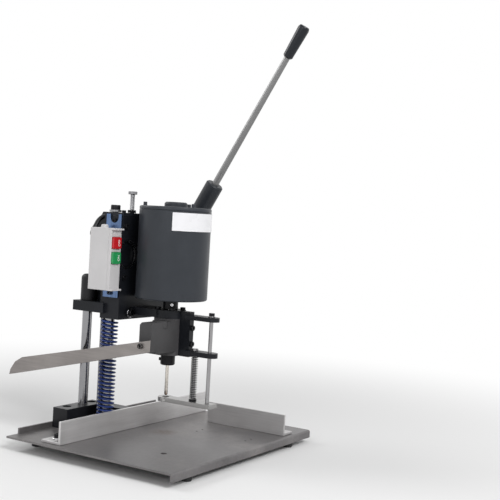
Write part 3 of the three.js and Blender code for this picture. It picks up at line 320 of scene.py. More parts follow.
def moulded(name, colour, gloss=0.4, grain=1400.0, coat=0.0, contrast=0.05, depth=0.00003, shine=0.5):
    """Moulded plastic or rubber: fine spark texture and slight tone changes."""
    material, tree, shader = new_material(name)
    vector = object_coordinates(tree)
    fine = noise(tree, vector, grain, 2.0)
    broad = noise(tree, vector, 22.0, 4.0)
    rough = spread(tree, broad, gloss - 0.04, gloss + 0.05)
    surface(tree, shader, tones(tree, broad, colour, contrast), rough)
    shader.inputs["Coat Weight"].default_value = coat
    shader.inputs["Specular IOR Level"].default_value = shine
    bump(tree, shader, fine, 0.25, depth)
    return material


# ---- mesh helpers ----


def link(name, mesh):
    """An object that holds some data, linked to the scene."""
    piece = bpy.data.objects.new(name, mesh)
    bpy.context.scene.collection.objects.link(piece)
    return piece


def plain_mesh(piece):
    """Applies a piece's modifiers and leaves a plain mesh."""
    bpy.context.view_layer.update()
    graph = bpy.context.evaluated_depsgraph_get()
    final = piece.evaluated_get(graph)
    mesh = bpy.data.meshes.new_from_object(final, preserve_all_data_layers=True, depsgraph=graph)
    mesh.name = piece.name
    piece.modifiers.clear()
    piece.data = mesh
    return piece


def even_shading(piece, angle=SHARP):
    """Smooth shading in which the large faces stay flat up to their rounded edges."""
    piece.data.shade_smooth()
    piece.data.set_sharp_from_angle(angle=math.radians(angle))
    weighted = piece.modifiers.new("Weighted", "WEIGHTED_NORMAL")
    weighted.mode = "FACE_AREA"
    weighted.weight = 50
    weighted.keep_sharp = True
    return plain_mesh(piece)


def soften(piece, width, segments=2, angle=SHARP):
    """Rounds a piece's edges and shades it smooth between them."""
    if width > 0:
        edges = piece.modifiers.new("Edges", "BEVEL")
        edges.width = width
        edges.segments = segments
        edges.limit_method = "ANGLE"
        edges.angle_limit = math.radians(angle)
        edges.use_clamp_overlap = True
        edges.miter_outer = "MITER_ARC"
        plain_mesh(piece)
    return even_shading(piece, angle)


def finish(piece, body, material, nodes=()):
    """Gives a piece its finish, its body and the solids that it stands for."""
    piece.data.materials.clear()
    piece.data.materials.append(material)
    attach(piece, body)
    if nodes:
        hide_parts(*nodes)
    return piece


def fine_copy(node, name, body, material, width=0.0004, segments=2):
    """A node's solid with its triangles merged, its edges rounded and its surface smooth."""
    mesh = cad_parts[node].data.copy()
    shape = bmesh.new()
    shape.from_mesh(mesh)
    bmesh.ops.remove_doubles(shape, verts=shape.verts, dist=0.000002)
    bmesh.ops.dissolve_limit(shape, angle_limit=math.radians(1.0), verts=shape.verts, edges=shape.edges)
    shape.to_mesh(mesh)
    shape.free()
    piece = link(name, mesh)
    return finish(soften(piece, width, segments), body, material, [node])


def mesh_from(shape, name, angle=SHARP):
    """A mesh from a working shape, with its faces outward and smooth up to an angle."""
    bmesh.ops.recalc_face_normals(shape, faces=shape.faces)
    mesh = bpy.data.meshes.new(name)
    shape.to_mesh(mesh)
    shape.free()
    mesh.shade_smooth()
    mesh.set_sharp_from_angle(angle=math.radians(angle))
    return mesh


def around(shape, radius, height, sides):
    """A level ring of corners about the Z axis, with the radius as a number or as a function of the index."""
    step = 2 * math.pi / sides
    reach = radius if callable(radius) else lambda k: radius
    return [
        shape.verts.new((reach(k) * math.cos(step * k), reach(k) * math.sin(step * k), height))
        for k in range(sides)
    ]


def turned(name, profile, sides=64, axis=UP, place=(0, 0, 0)):
    """A closed solid turned from a (radius, height) profile about an axis through a place."""
    shape = bmesh.new()
    rings = [
        around(shape, radius, height, sides) if radius else [shape.verts.new((0, 0, height))]
        for radius, height in profile
    ]
    pairs = list(zip(rings, rings[1:]))
    if len(rings[0]) > 1 and len(rings[-1]) > 1:
        pairs.append((rings[-1], rings[0]))
    for low, high in pairs:
        for k in range(sides):
            after = k + 1
            corners = (low[k % len(low)], low[after % len(low)], high[after % len(high)], high[k % len(high)])
            ring = list(dict.fromkeys(corners))
            if len(ring) > 2:
                shape.faces.new(ring)
    turn = UP.rotation_difference(Vector(axis)).to_matrix().to_4x4()
    bmesh.ops.transform(shape, matrix=Matrix.Translation(Vector(place)) @ turn, verts=shape.verts)
    return link(name, mesh_from(shape, name))


def metres(profile):
    """A profile given in millimetres."""
    return [(radius * MM, height * MM) for radius, height in profile]


def spin(name, profile, sides, place, body, material, nodes=(), axis=UP):
    """A turned piece with its finish."""
    return finish(turned(name, profile, sides, axis, place), body, material, nodes)


def washer_profile(hole, outer, bottom, round_off):
    """A flat ring's profile from a bottom up to zero height, its outer edges taken off."""
    inset = outer - round_off
    return [(hole, bottom), (inset, bottom), (outer, bottom + round_off), (outer, -round_off), (inset, 0),
            (hole, 0)]


def shank_profile(radius, bottom, point):
    """A plain shank's profile from a bottom up to zero height, narrower at its end."""
    return [(0, bottom), (radius - 0.0004, bottom), (radius, bottom + point), (radius, 0), (0, 0)]


def arc_band(name, middle, inner, outer, depth, turn, steps=72):
    """A closed flat band bent round a middle in the XZ plane, as far as a turn to each side of +X."""
    shape = bmesh.new()
    rows = []
    for k in range(steps + 1):
        angle = math.radians(turn * (2 * k / steps - 1))
        corners = ((inner, 0), (outer, 0), (outer, depth), (inner, depth))
        rows.append([
            shape.verts.new(middle + Vector((radius * math.cos(angle), y, radius * math.sin(angle))))
            for radius, y in corners
        ])
    for low, high in zip(rows, rows[1:]):
        for k in range(4):
            after = (k + 1) % 4
            shape.faces.new((low[k], low[after], high[after], high[k]))
    shape.faces.new(rows[0])
    shape.faces.new(rows[-1])
    return link(name, mesh_from(shape, name))


def socket_screw_mesh(head, height, socket, depth):
    """A cap screw's head on z = 0, with a knurled rim, a chamfer and a hexagon socket."""
    sides = 36
    shape = bmesh.new()

    def ring(radius, z, grooves=0.0):
        return around(shape, lambda k: radius - (grooves if k % 2 else 0), z, sides)

    def hexagon(z):
        half = math.pi / 6
        turn = 2 * math.pi / sides
        return around(shape, lambda k: socket / math.cos((turn * k + half) % (2 * half) - half), z, sides)

    groove = head * 0.04
    rings = [
        ring(head * 0.96, 0), ring(head, height * 0.1, groove), ring(head, height * 0.8, groove),
        ring(head * 0.97, height * 0.86), ring(head * 0.9, height), hexagon(height), hexagon(height - depth),
    ]
    for low, high in zip(rings, rings[1:]):
        for k in range(sides):
            shape.faces.new([low[k], low[(k + 1) % sides], high[(k + 1) % sides], high[k]])
    shape.faces.new(rings[-1])
    shape.faces.new(list(reversed(rings[0])))
    return mesh_from(shape, "cap_screw_head", SCREW_SHARP)


def new_tree(name, **inputs):
    """A Geometry Nodes group with a geometry in and out and the named inputs."""
    tree = bpy.data.node_groups.new(name, "GeometryNodeTree")
    inputs = {"Geometry": "Geometry", **inputs, "Finish": "Material"}
    for title, kind in inputs.items():
        tree.interface.new_socket(
            name=title.replace("_", " "), in_out="INPUT", socket_type="NodeSocket" + kind)
    tree.interface.new_socket(name="Geometry", in_out="OUTPUT", socket_type="NodeSocketGeometry")
    return tree, tree.nodes.new("NodeGroupInput").outputs


def close_tree(tree, shape, source):
    """Ends a tree: instances made real, then the finish."""
    real = add(tree, "GeometryNodeRealizeInstances", {"Geometry": shape}).outputs["Geometry"]
    paint = add(tree, "GeometryNodeSetMaterial", {"Geometry": real, "Material": source["Finish"]})
    add(tree, "NodeGroupOutput", {"Geometry": paint.outputs["Geometry"]})
    return tree


def screws_tree():
    """Geometry Nodes: one pattern object on every point, turned one way."""
    tree, source = new_tree("Screws on points", Pattern="Object", Turn="Rotation")
    points = add(tree, "GeometryNodeMeshToPoints", {"Mesh": source["Geometry"]}).outputs["Points"]
    pattern = add(tree, "GeometryNodeObjectInfo", {"Object": source["Pattern"]}).outputs["Geometry"]
    inputs = {"Points": points, "Instance": pattern, "Rotation": source["Turn"]}
    return close_tree(tree, add(tree, "GeometryNodeInstanceOnPoints", inputs).outputs["Instances"], source)


def coil_tree():
    """Geometry Nodes: a wire of flattened section wound into a closed, unbroken coil."""
    tree, source = new_tree(
        "Wound coil", Turns="Float", Mean_radius="Float", Climb="Float", Wire_width="Float",
        Wire_height="Float", Steps_a_turn="Int", Place="Vector")
    mean = source["Mean radius"]
    spiral = add(tree, "GeometryNodeCurveSpiral", {
        "Resolution": source["Steps a turn"], "Rotations": source["Turns"], "Start Radius": mean,
        "End Radius": mean, "Height": source["Climb"],
    }).outputs["Curve"]
    path = add(tree, "GeometryNodeSetCurveNormal", {"Curve": spiral}, mode="Z_UP").outputs["Curve"]
    circle = add(tree, "GeometryNodeCurvePrimitiveCircle", {"Resolution": 12, "Radius": 0.5}).outputs["Curve"]
    width, height = source["Wire width"], source["Wire height"]
    size = add(tree, "ShaderNodeCombineXYZ", {"X": width, "Y": height, "Z": 1.0})
    flat = add(tree, "GeometryNodeTransform", {"Geometry": circle, "Scale": size.outputs["Vector"]})
    section = flat.outputs["Geometry"]
    sweep = {"Curve": path, "Profile Curve": section, "Fill Caps": True}
    wire = add(tree, "GeometryNodeCurveToMesh", sweep).outputs["Mesh"]
    move = add(tree, "GeometryNodeTransform", {"Geometry": wire, "Translation": source["Place"]})
    return close_tree(tree, move.outputs["Geometry"], source)


def run_tree(piece, tree, values):
    """Runs a Geometry Nodes tree on a piece with its inputs set, and leaves a plain mesh."""
    modifier = piece.modifiers.new(tree.name, "NODES")
    modifier.node_group = tree
    for item in tree.interface.items_tree:
        if item.item_type == "SOCKET" and item.in_out == "INPUT" and item.name in values:
            modifier[item.identifier] = values[item.name]
    return plain_mesh(piece)


def screws(name, body, slot, material, places, direction, head, height, socket, depth):
    """Like screw heads at several places that all face one way."""
    pattern = link("pattern_screw", socket_screw_mesh(head, height, socket, depth))
    mesh = bpy.data.meshes.new(name)
    mesh.from_pydata([HOME + Vector(p) * MM for p in places], [], [])
    piece = link(name, mesh)
    turn = UP.rotation_difference(direction).to_euler()
    run_tree(piece, screws_tree(), {"Pattern": pattern, "Turn": tuple(turn), "Finish": material})
    bpy.data.objects.remove(pattern)
    piece.data.set_sharp_from_angle(angle=math.radians(SCREW_SHARP))
    return finish(piece, body, material)


def centre(node):
    """The middle of a node's box."""
    low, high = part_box(node)
    return (Vector(low) + Vector(high)) / 2


# ---- what a user would change ----


def tone_setting(name, text, colour):
    return bpy.props.FloatVectorProperty(name=name, description=text, subtype="COLOR", default=colour)


def length_setting(name, text, metres):
    return bpy.props.FloatProperty(
        name=name, description=text, subtype="DISTANCE", unit="LENGTH", default=metres, min=0)


class TableLook(bpy.types.PropertyGroup):
    """Colours of the table, fences and block."""

    steel: tone_setting("Sheet", "Tone of the table's sheet", (0.195, 0.187, 0.189))
    warm: tone_setting("Oxide", "Warm tone where the sheet has oxide", (0.285, 0.272, 0.268))
    fence: tone_setting("Fence", "Tone of the two stop fences", (0.6, 0.59, 0.59))
    block: tone_setting("Block", "Paint of the column block", (0.012, 0.0125, 0.015))
    edge: length_setting("Edge", "Rounding of the folded edges", 0.0004)


class HeadLook(bpy.types.PropertyGroup):
    """Paints of the head and the motor."""

    casting: tone_setting("Casting", "Paint of the head casting", (0.0085, 0.0095, 0.0125))
    motor: tone_setting("Motor", "Paint of the motor and lever arm", (0.033, 0.037, 0.044))
    edge: length_setting("Edge", "Rounding of cast edges", 0.0007)


class SpringLook(bpy.types.PropertyGroup):
    """Wires of the two springs."""

    blue: tone_setting("Return spring", "Paint of the return spring", (0.014, 0.034, 0.16))
    turns: bpy.props.IntProperty(name="Turns", description="Turns of the return spring", default=27, min=3)
    width: length_setting("Wire width", "Radial width of its wire", 0.0054)
    height: length_setting("Wire height", "Axial height of its wire", 0.0036)
    small_turns: bpy.props.IntProperty(
        name="Small turns", description="Turns of the presser spring", default=24, min=3)
    small_width: length_setting("Small width", "Radial width of the presser spring's wire", 0.0013)
    small_height: length_setting("Small height", "Axial height of the presser spring's wire", 0.0012)


class SwitchLook(bpy.types.PropertyGroup):
    """Colours of the switch."""

    shell: tone_setting("Shell", "Plastic of the box", (0.56, 0.55, 0.555))
    stop: tone_setting("Stop", "Plastic of the stop button", (0.5, 0.012, 0.018))
    start: tone_setting("Start", "Plastic of the start button", (0.02, 0.28, 0.085))
    letter: length_setting("Letter", "Height of the marks", 0.0062)


class StageLook(bpy.types.PropertyGroup):
    """Floor and lens."""

    floor: tone_setting("Floor", "Colour of the floor", (0.86, 0.86, 0.86))
    lens: bpy.props.FloatProperty(
        name="Lens", description="Focal length", subtype="DISTANCE_CAMERA", default=70.0)


# ---- pieces ----


def look(kind):
    """The scene's settings of one kind."""
    return getattr(bpy.context.scene, kind)


def black_metal(name="Black oxide"):
    """Oxide on small steel parts."""
    return painted(name, (0.009, 0.009, 0.011), gloss=0.36, metal=0.4, depth=0.00001, shine=0.3)


class Step:
    """What every operator here does: build its pieces and report that it finished."""

    def execute(self, context):
        self.build()
        return {"FINISHED"}


class DRILL_OT_table(Step, bpy.types.Operator):
    """Sheet table, its feet and the stop fences"""

    bl_idname = "drill.table"
    bl_label = "Table and fences"

    def build(self):
        settings = look("drill_table")
        sheet = blotched_sheet("Table sheet", tuple(settings.steel), tuple(settings.warm))
        fence = brushed("Fence aluminium", tuple(settings.fence), 0, gloss=0.38, metal=0.85, contrast=0.1)
        # Painted shade: the right fence is the same aluminium as the rear fence, made darker (0.82) for its
        # face turned to -X, with its brush lines along Y.
        side = brushed("Side fence aluminium", shade(tuple(settings.fence), 0.82), 1, gloss=0.38, metal=0.85,
                       contrast=0.1)
        foot = moulded("Foot rubber", (0.012, 0.012, 0.013), gloss=0.7)
        fine_copy("base_table", "table_sheet", "stand", sheet, settings.edge)
        fine_copy("back_fence", "rear_fence", "stand", fence, settings.edge)
        fine_copy("side_fence", "right_fence", "stand", side, settings.edge)
        for node in [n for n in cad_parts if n.startswith("foot_")]:
            fine_copy(node, node.replace("foot", "rubber_foot"), "stand", foot, 0.0008)


class DRILL_OT_fence_bolts(Step, bpy.types.Operator):
    """Bright washers and black cap screws that hold the fences"""

    bl_idname = "drill.fence_bolts"
    bl_label = "Fence bolts"

    def build(self):
        bright = polished("Washer zinc", (0.82, 0.82, 0.83), gloss=0.2)
        oxide = black_metal("Bolt oxide")
        bolts = [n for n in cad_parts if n.startswith("fence_bolt_")]
        for node in bolts:
            low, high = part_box(node)
            x, y = middle_of(low, high)
            seat = (x, y, HOME.z + FENCE_SEAT)
            ring = washer_profile(0.0032, (high[0] - low[0]) / 2, -0.0016, 0.0003)
            shank = shank_profile(0.003, low[2] - seat[2], 0.0005)
            spin(node.replace("bolt", "washer"), ring, 48, seat, "stand", bright)
            spin(node.replace("bolt", "shank"), shank, 24, seat, "stand", oxide, [node])
        places = [(*((centre(node) - HOME) / MM).xy, FENCE_SEAT / MM) for node in sorted(bolts)]
        screws("fence_bolt_heads", "stand", "black_oxide", oxide, places, UP, *FENCE_HEAD)


class DRILL_OT_columns(Step, bpy.types.Operator):
    """Column block, both polished columns, the collar and the rack bar"""

    bl_idname = "drill.columns"
    bl_label = "Columns and block"

    def build(self):
        settings = look("drill_table")
        dark = painted("Block paint", tuple(settings.block), gloss=0.34, depth=0.00003)
        chrome = polished("Column chrome", (0.3, 0.3, 0.31), gloss=0.14)
        ground = brushed("Rack steel", (0.24, 0.24, 0.245), 2, gloss=0.36)
        fine_copy("column_block", "column_foot_block", "stand", dark, 0.0006)
        fine_copy("column_collar", "column_foot_collar", "stand", dark, 0.0006)
        fine_copy("rear_column", "rear_guide_column", "stand", chrome, 0.0005)
        fine_copy("front_column", "front_guide_column", "stand", chrome, 0.0005)
        fine_copy("rack_bar", "rack_with_teeth", "stand", ground, 0.0002)


class DRILL_OT_column_top(Step, bpy.types.Operator):
    """Washer and cap screw on the front column"""

    bl_idname = "drill.column_top"
    bl_label = "Column top screw"

    def build(self):
        low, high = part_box("column_top_screw")
        x, y = middle_of(low, high)
        seat = Vector((x, y, high[2] - COLUMN_HEAD[1]))
        ring = washer_profile(0.0048, (high[1] - low[1]) / 2, -0.0034, 0.0004)
        shank = shank_profile(0.0046, low[2] - seat.z, 0.0006)
        grey = polished("Column washer", (0.3, 0.3, 0.31), gloss=0.2)
        oxide = black_metal("Top screw oxide")
        spin("column_washer", ring, 56, seat, "stand", grey)
        spin("column_screw_shank", shank, 28, seat, "stand", oxide, ["column_top_screw"])
        screws("column_screw_head", "stand", "black_oxide", oxide, [(seat - HOME) / MM], UP, *COLUMN_HEAD)


class DRILL_OT_springs(Step, bpy.types.Operator):
    """The blue return spring and the small presser spring, each one wound wire"""

    bl_idname = "drill.springs"
    bl_label = "Springs"

    def wind(self, node, name, turns, width, height, steps, material, body, slot):
        low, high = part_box(node)
        x, y = middle_of(low, high)
        outer = (high[1] - low[1]) / 2
        piece = link(name, bpy.data.meshes.new(name))
        run_tree(piece, coil_tree(), {
            "Turns": float(turns), "Mean radius": outer - width / 2, "Climb": high[2] - low[2] - height,
            "Wire width": width, "Wire height": height, "Steps a turn": steps,
            "Place": (x, y, low[2] + height / 2), "Finish": material,
        })
        piece.data.shade_smooth()
        return finish(piece, body, material, [node])

    def build(self):
        settings = look("drill_springs")
        blue = painted("Spring blue", tuple(settings.blue), gloss=0.26, depth=0.00001, contrast=0.25)
        blue.node_tree.nodes["Principled BSDF"].inputs["Coat Weight"].default_value = 0.15
        dark = painted("Spring black", (0.009, 0.009, 0.011), gloss=0.34, metal=0.1, depth=0.00001)
        large = self.wind("return_spring", "return_coil", settings.turns, settings.width, settings.height,
                          40, blue, "stand", "spring_blue")
        small = self.wind("presser_spring", "presser_coil", settings.small_turns, settings.small_width,
                          settings.small_height, 28, dark, "head", "spring_black")
        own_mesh(large)
        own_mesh(small)


class DRILL_OT_casting(Step, bpy.types.Operator):
    """Head casting with its plates, bushes and cap"""

    bl_idname = "drill.casting"
    bl_label = "Head casting"

    def build(self):
        settings = look("drill_head")
        cast = painted("Cast paint", tuple(settings.casting), gloss=0.38, grain=420.0, depth=0.00012,
                       contrast=0.2)
        plate = painted("Plate paint", shade(tuple(settings.casting), 1.4), gloss=0.34, depth=0.00003)
        rubber = moulded("Cap rubber", (0.01, 0.01, 0.012), gloss=0.5, shine=0.3)
        bronze = brushed("Bush bronze", (0.45, 0.27, 0.11), 2, gloss=0.36)
        fine_copy("head_casting", "head_body", "head", cast, settings.edge, 2)
        fine_copy("top_plate", "head_top_plate", "head", plate, 0.0004)
        fine_copy("rear_cover", "head_rear_cover", "head", plate, 0.0005)
        fine_copy("rear_column_cap", "rear_cap", "head", rubber, 0.0008)
        for node in ("front_bush", "rear_bush", "shaft_bush"):
            fine_copy(node, node.replace("bush", "sleeve"), "head", bronze, 0.0002)
        inner, outer, depth = (size * MM for size in WINDOW_RING)
        rim = arc_band("window_rim", HOME + Vector(WINDOW) * MM, inner, outer, depth, WINDOW_TURN)
        finish(rim, "head", polished("Window rim steel", (0.3, 0.3, 0.31), gloss=0.24))
        seat = HOME + Vector(CLAMP_SCREW) * MM
        bright = polished("Clamp washer steel", (0.5, 0.5, 0.52), gloss=0.2)
        spin("clamp_washer", metres(CLAMP_WASHER), 56, seat, "head", bright, axis=FRONT)
        oxide = black_metal("Clamp oxide")
        screws("clamp_screw", "head", "black_oxide", oxide, [CLAMP_SCREW], FRONT, *CLAMP_HEAD)


class DRILL_OT_depth_stop(Step, bpy.types.Operator):
    """Threaded depth stop with its round head and lock nut"""

    bl_idname = "drill.depth_stop"
    bl_label = "Depth stop"

    def build(self):
        low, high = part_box("depth_stop_bolt")
        x, y = middle_of(low, high)
        outer = (high[1] - low[1]) / 2
        chrome = polished("Depth stop steel", (0.6, 0.6, 0.61), gloss=0.18)
        grey = polished("Depth stop head steel", (0.26, 0.26, 0.27), gloss=0.22)
        length = high[2] - low[2] - STOP_HEAD
        profile = [(0, 0), (0.0036, 0)]
        for k in range(int((length - 0.001) / THREAD_PITCH)):
            z = 0.0006 + k * THREAD_PITCH
            profile += [(THREAD_ROOT, z), (THREAD_CREST, z + THREAD_PITCH * 0.5)]
        profile += [(0.0037, length), (0, length)]
        spin("depth_stop", profile, 48, (x, y, low[2]), "head", chrome, ["depth_stop_bolt"])
        edge = 0.0006
        head = [(0, 0), (outer - edge, 0), (outer, edge), (outer, STOP_HEAD - edge),
                (outer - edge, STOP_HEAD), (0, STOP_HEAD)]
        spin("depth_stop_head", head, 48, (x, y, low[2] + length), "head", grey)
        fine_copy("depth_stop_nut", "depth_lock_nut", "head", black_metal("Nut oxide"), 0.0005)


class DRILL_OT_motor(Step, bpy.types.Operator):
    """Motor casing, top cover with its tie nuts, winding and bare label"""

    bl_idname = "drill.motor"
    bl_label = "Motor"

    def build(self):
        settings = look("drill_head")
        paint = painted("Motor paint", tuple(settings.motor), gloss=0.36, depth=0.00002, contrast=0.07)
        low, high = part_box("motor_casing")
        radius = (high[0] - low[0]) / 2
        inner = radius - CASING_WALL
        bottom, top = low[2], high[2]
        floor, boss = bottom + CASING_WALL, bottom + 0.01
        bend = radius - CASING_ROUND
        lip = 0.0004
        profile = [(CASING_BORE, bottom), (bend, bottom)]
        for k in range(1, 7):
            a = math.radians(-90 + 15 * k)
            profile.append((bend + CASING_ROUND * math.cos(a), bottom + CASING_ROUND * (1 + math.sin(a))))
        profile += [(radius, top - lip), (radius - lip, top), (inner, top), (inner, floor),
                    (CASING_BOSS, floor), (CASING_BOSS, boss), (CASING_BORE, boss)]
        spin("motor_shell", profile, 128, (HOME.x, HOME.y, 0), "head", paint, ["motor_casing"])
        fine_copy("motor_top_cover", "motor_cover", "head", paint, 0.0008, 3)
        label = moulded("Label film", (0.78, 0.78, 0.8), gloss=0.3, coat=0.2)
        fine_copy("motor_label", "bare_label", "head", label, 0.00012)
        copper = brushed("Winding copper", (0.5, 0.22, 0.1), 2, gloss=0.4)
        fine_copy("motor_stator", "winding", "head", copper, 0.0005)


class DRILL_OT_spindle(Step, bpy.types.Operator):
    """Spindle housing, bearings, shaft, coupling, chuck and hollow bit"""

    bl_idname = "drill.spindle"
    bl_label = "Spindle"

    def build(self):
        paint = painted("Housing paint", (0.062, 0.06, 0.063), gloss=0.44, depth=0.00004)
        steel = brushed("Spindle steel", (0.55, 0.55, 0.56), 2, gloss=0.26)
        dark = painted("Chuck oxide", (0.006, 0.006, 0.008), gloss=0.36, metal=0.1, depth=0.00001)
        fine_copy("spindle_housing", "spindle_barrel", "head", paint, 0.0007, 3)
        for node in ("lower_bearing", "upper_bearing"):
            fine_copy(node, node.replace("bearing", "race"), "head", steel, 0.0003)
        fine_copy("spindle_shaft", "hollow_shaft", "spindle", steel, 0.0003)
        fine_copy("shaft_coupling", "coupling_ring", "spindle", dark, 0.0005)
        self.set_screw()
        fine_copy("motor_rotor", "rotor", "spindle", steel, 0.0005)
        fine_copy("drill_chuck", "bit_holder", "spindle", dark, 0.0005)
        self.bit()

    def set_screw(self):
        """The bright screw in the side of the coupling, towards the front left."""
        middle = centre("shaft_coupling")
        way = Vector((-1, -1, 0)).normalized()
        seat = Vector((HOME.x, HOME.y, middle.z)) + way * COUPLING_RADIUS
        bright = polished("Set screw chrome", (0.85, 0.85, 0.87), gloss=0.14)
        spin("coupling_screw", metres(SET_SCREW), 32, seat, "spindle", bright, axis=way)

    def bit(self):
        """The hollow bit, stained near its cutting edge."""
        low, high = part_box("drill_bit")
        outer = (high[0] - low[0]) / 2
        top = high[2]
        lip = 0.0003
        profile = [(BIT_BORE, low[2]), (BIT_BORE + 0.0001, low[2]), (outer, low[2] + BIT_EDGE),
                   (outer, top - lip), (outer - lip, top), (BIT_BORE, top)]
        material, tree, shader = new_material("Bit steel")
        split = add(tree, "ShaderNodeSeparateXYZ", {"Vector": object_coordinates(tree)})
        height = mapped(tree, split.outputs["Z"], low[2], low[2] + BIT_STAIN)
        tone = ramp(tree, height, [(0.3, (0.2, 0.15, 0.12)), (1.0, (0.72, 0.68, 0.62))])
        lined = noise(tree, object_coordinates(tree, (1, 1, 0.1)), 700.0)
        surface(tree, shader, tone, spread(tree, lined, 0.2, 0.34), 1.0)
        spin("hollow_bit", profile, 40, (HOME.x, HOME.y, 0), "spindle", material, ["drill_bit"])


class DRILL_OT_outlet(Step, bpy.types.Operator):
    """Chip outlet block and the folded chip tray"""

    bl_idname = "drill.outlet"
    bl_label = "Chip outlet and tray"

    def build(self):
        paint = painted("Outlet paint", (0.06, 0.059, 0.061), gloss=0.42, depth=0.00003)
        tray = brushed("Tray aluminium", (0.27, 0.25, 0.24), 1, gloss=0.42, metal=0.8, contrast=0.16,
                       lines=300.0)
        fine_copy("chip_outlet", "outlet_block", "head", paint, 0.0005)
        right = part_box("chip_tray")[1][0]
        # Painted shade: the tray's inner faces get a near-black tone, where its walls shade the inside.
        paint_inside_shade(tray, right - TRAY_WIDTH, right, (0.045, 0.044, 0.046, 1.0))
        fine_copy("chip_tray", "folded_tray", "head", tray, 0.0003)


class DRILL_OT_presser(Step, bpy.types.Operator):
    """Presser bracket, its foot plate, rods, washer and nut"""

    bl_idname = "drill.presser"
    bl_label = "Stack presser"

    def build(self):
        settings = look("drill_head")
        paint = painted("Bracket paint", tuple(settings.casting), gloss=0.36, depth=0.00003)
        chrome = polished("Guide rod chrome", (0.34, 0.335, 0.34), gloss=0.16)
        plated = brushed("Presser plate steel", (0.38, 0.375, 0.37), 1, gloss=0.32, contrast=0.08)
        dark = black_metal("Presser oxide")
        fine_copy("presser_bracket", "presser_arms", "head", paint, 0.0006)
        fine_copy("presser_plate", "presser_foot", "presser", plated, 0.0006)
        fine_copy("guide_rod_washer", "guide_washer", "presser", chrome, 0.0003)
        self.guide_rod(chrome, dark)
        self.spring_rod(chrome, dark)

    def guide_rod(self, chrome, dark):
        """The plain rod and the nut at its top."""
        low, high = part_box("presser_guide_rod")
        x, y = middle_of(low, high)
        tall = high[2] - low[2]
        point = 0.0004
        rod = [(0, 0), (0.0029, 0), (0.0032, point), (0.0032, tall - point), (0.0029, tall), (0, tall)]
        nut = (x, y, high[2] - 0.005)
        spin("guide_rod", rod, 40, (x, y, low[2]), "presser", chrome, ["presser_guide_rod"])
        spin("guide_rod_nut", metres(GUIDE_NUT), 40, nut, "presser", dark)

    def spring_rod(self, chrome, dark):
        """The rod in the small spring, with its head and its seat on the foot plate."""
        low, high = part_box("presser_spring_rod")
        x, y = middle_of(low, high)
        tall = high[2] - low[2]
        head = tall - 0.0037
        rod = [(0, 0), (0.003, 0), (0.003, head), (0.0049, head), (0.0052, head + 0.0004),
               (0.0052, tall - 0.001), (0.0044, tall), (0, tall)]
        place = (x, y, low[2])
        spin("spring_rod", rod, 40, place, "presser", chrome, ["presser_spring_rod"])
        spin("spring_seat", metres(SPRING_SEAT), 40, place, "presser", dark)


class DRILL_OT_lever(Step, bpy.types.Operator):
    """Lever shaft, quadrant, arm, rod and grip"""

    bl_idname = "drill.lever"
    bl_label = "Lever"

    def build(self):
        settings = look("drill_head")
        paint = painted("Lever paint", shade(tuple(settings.motor), 0.72), gloss=0.34, depth=0.00003)
        steel = painted("Lever rod steel", (0.22, 0.22, 0.22), gloss=0.34, metal=0.7, depth=0.0,
                        contrast=0.04)
        ground = brushed("Shaft steel", (0.3, 0.3, 0.31), 0, gloss=0.3)
        grip = moulded("Grip plastic", (0.006, 0.008, 0.012), gloss=0.3, coat=0.05, shine=0.3)
        fine_copy("lever_shaft", "cross_shaft", "lever", ground, 0.0005)
        fine_copy("gear_quadrant", "toothed_quadrant", "lever", ground, 0.0002)
        fine_copy("lever_arm", "lever_socket_arm", "lever", paint, 0.0008, 3)
        fine_copy("lever_rod", "lever_bar", "lever", steel, 0.0003)
        fine_copy("lever_grip", "hand_grip", "lever", grip, 0.0012, 4)


class DRILL_OT_switch(Step, bpy.types.Operator):
    """Switch box, cover, plated carrier, buttons and their marks"""

    bl_idname = "drill.switch"
    bl_label = "Switch"

    def mark(self, words, name, button):
        """Raised letters on a button, read from its front."""
        low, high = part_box(button)
        settings = look("drill_switch")
        text = bpy.data.curves.new(name, "FONT")
        text.body = words
        text.align_x = "CENTER"
        text.align_y = "CENTER"
        text.size = settings.letter
        text.extrude = 0.00012
        draft = link(name + "_draft", text)
        bpy.context.view_layer.update()
        graph = bpy.context.evaluated_depsgraph_get()
        mesh = bpy.data.meshes.new_from_object(draft.evaluated_get(graph))
        bpy.data.objects.remove(draft)
        quarter = math.radians(90)
        turn = Matrix.Rotation(quarter, 4, "X") @ Matrix.Rotation(quarter, 4, "Z")
        place = Vector((low[0] + 0.7 * (high[0] - low[0]), low[1] - 0.00008, (low[2] + high[2]) / 2))
        mesh.transform(Matrix.Translation(place) @ turn)
        piece = link(name, mesh)
        white = moulded(name + " white", (0.85, 0.85, 0.85), gloss=0.4)
        return finish(piece, button, white)

    def build(self):
        settings = look("drill_switch")
        shell = moulded("Switch shell plastic", tuple(settings.shell), gloss=0.42, contrast=0.03)
        zinc = brushed("Zinc plate", (0.135, 0.205, 0.36), 2, gloss=0.27, contrast=0.3)
        red = moulded("Stop red", tuple(settings.stop), gloss=0.3, coat=0.3)
        green = moulded("Start green", tuple(settings.start), gloss=0.3, coat=0.3)
        dark = moulded("Contact black", (0.01, 0.01, 0.011), gloss=0.5)
        fine_copy("switch_box", "switch_base", "head", shell, 0.0008, 3)
        fine_copy("switch_cover", "switch_front", "head", shell, 0.0005)
        fine_copy("contact_block", "switch_contacts", "head", dark, 0.0004)
        fine_copy("switch_mount_plate", "switch_carrier", "head", zinc, 0.0004)
        fine_copy("stop_button", "stop_key", "stop_button", red, 0.0008, 3)
        fine_copy("start_button", "start_key", "start_button", green, 0.0008, 3)
        self.mark("OFF", "stop_mark", "stop_button")
        self.mark("ON", "start_mark", "start_button")


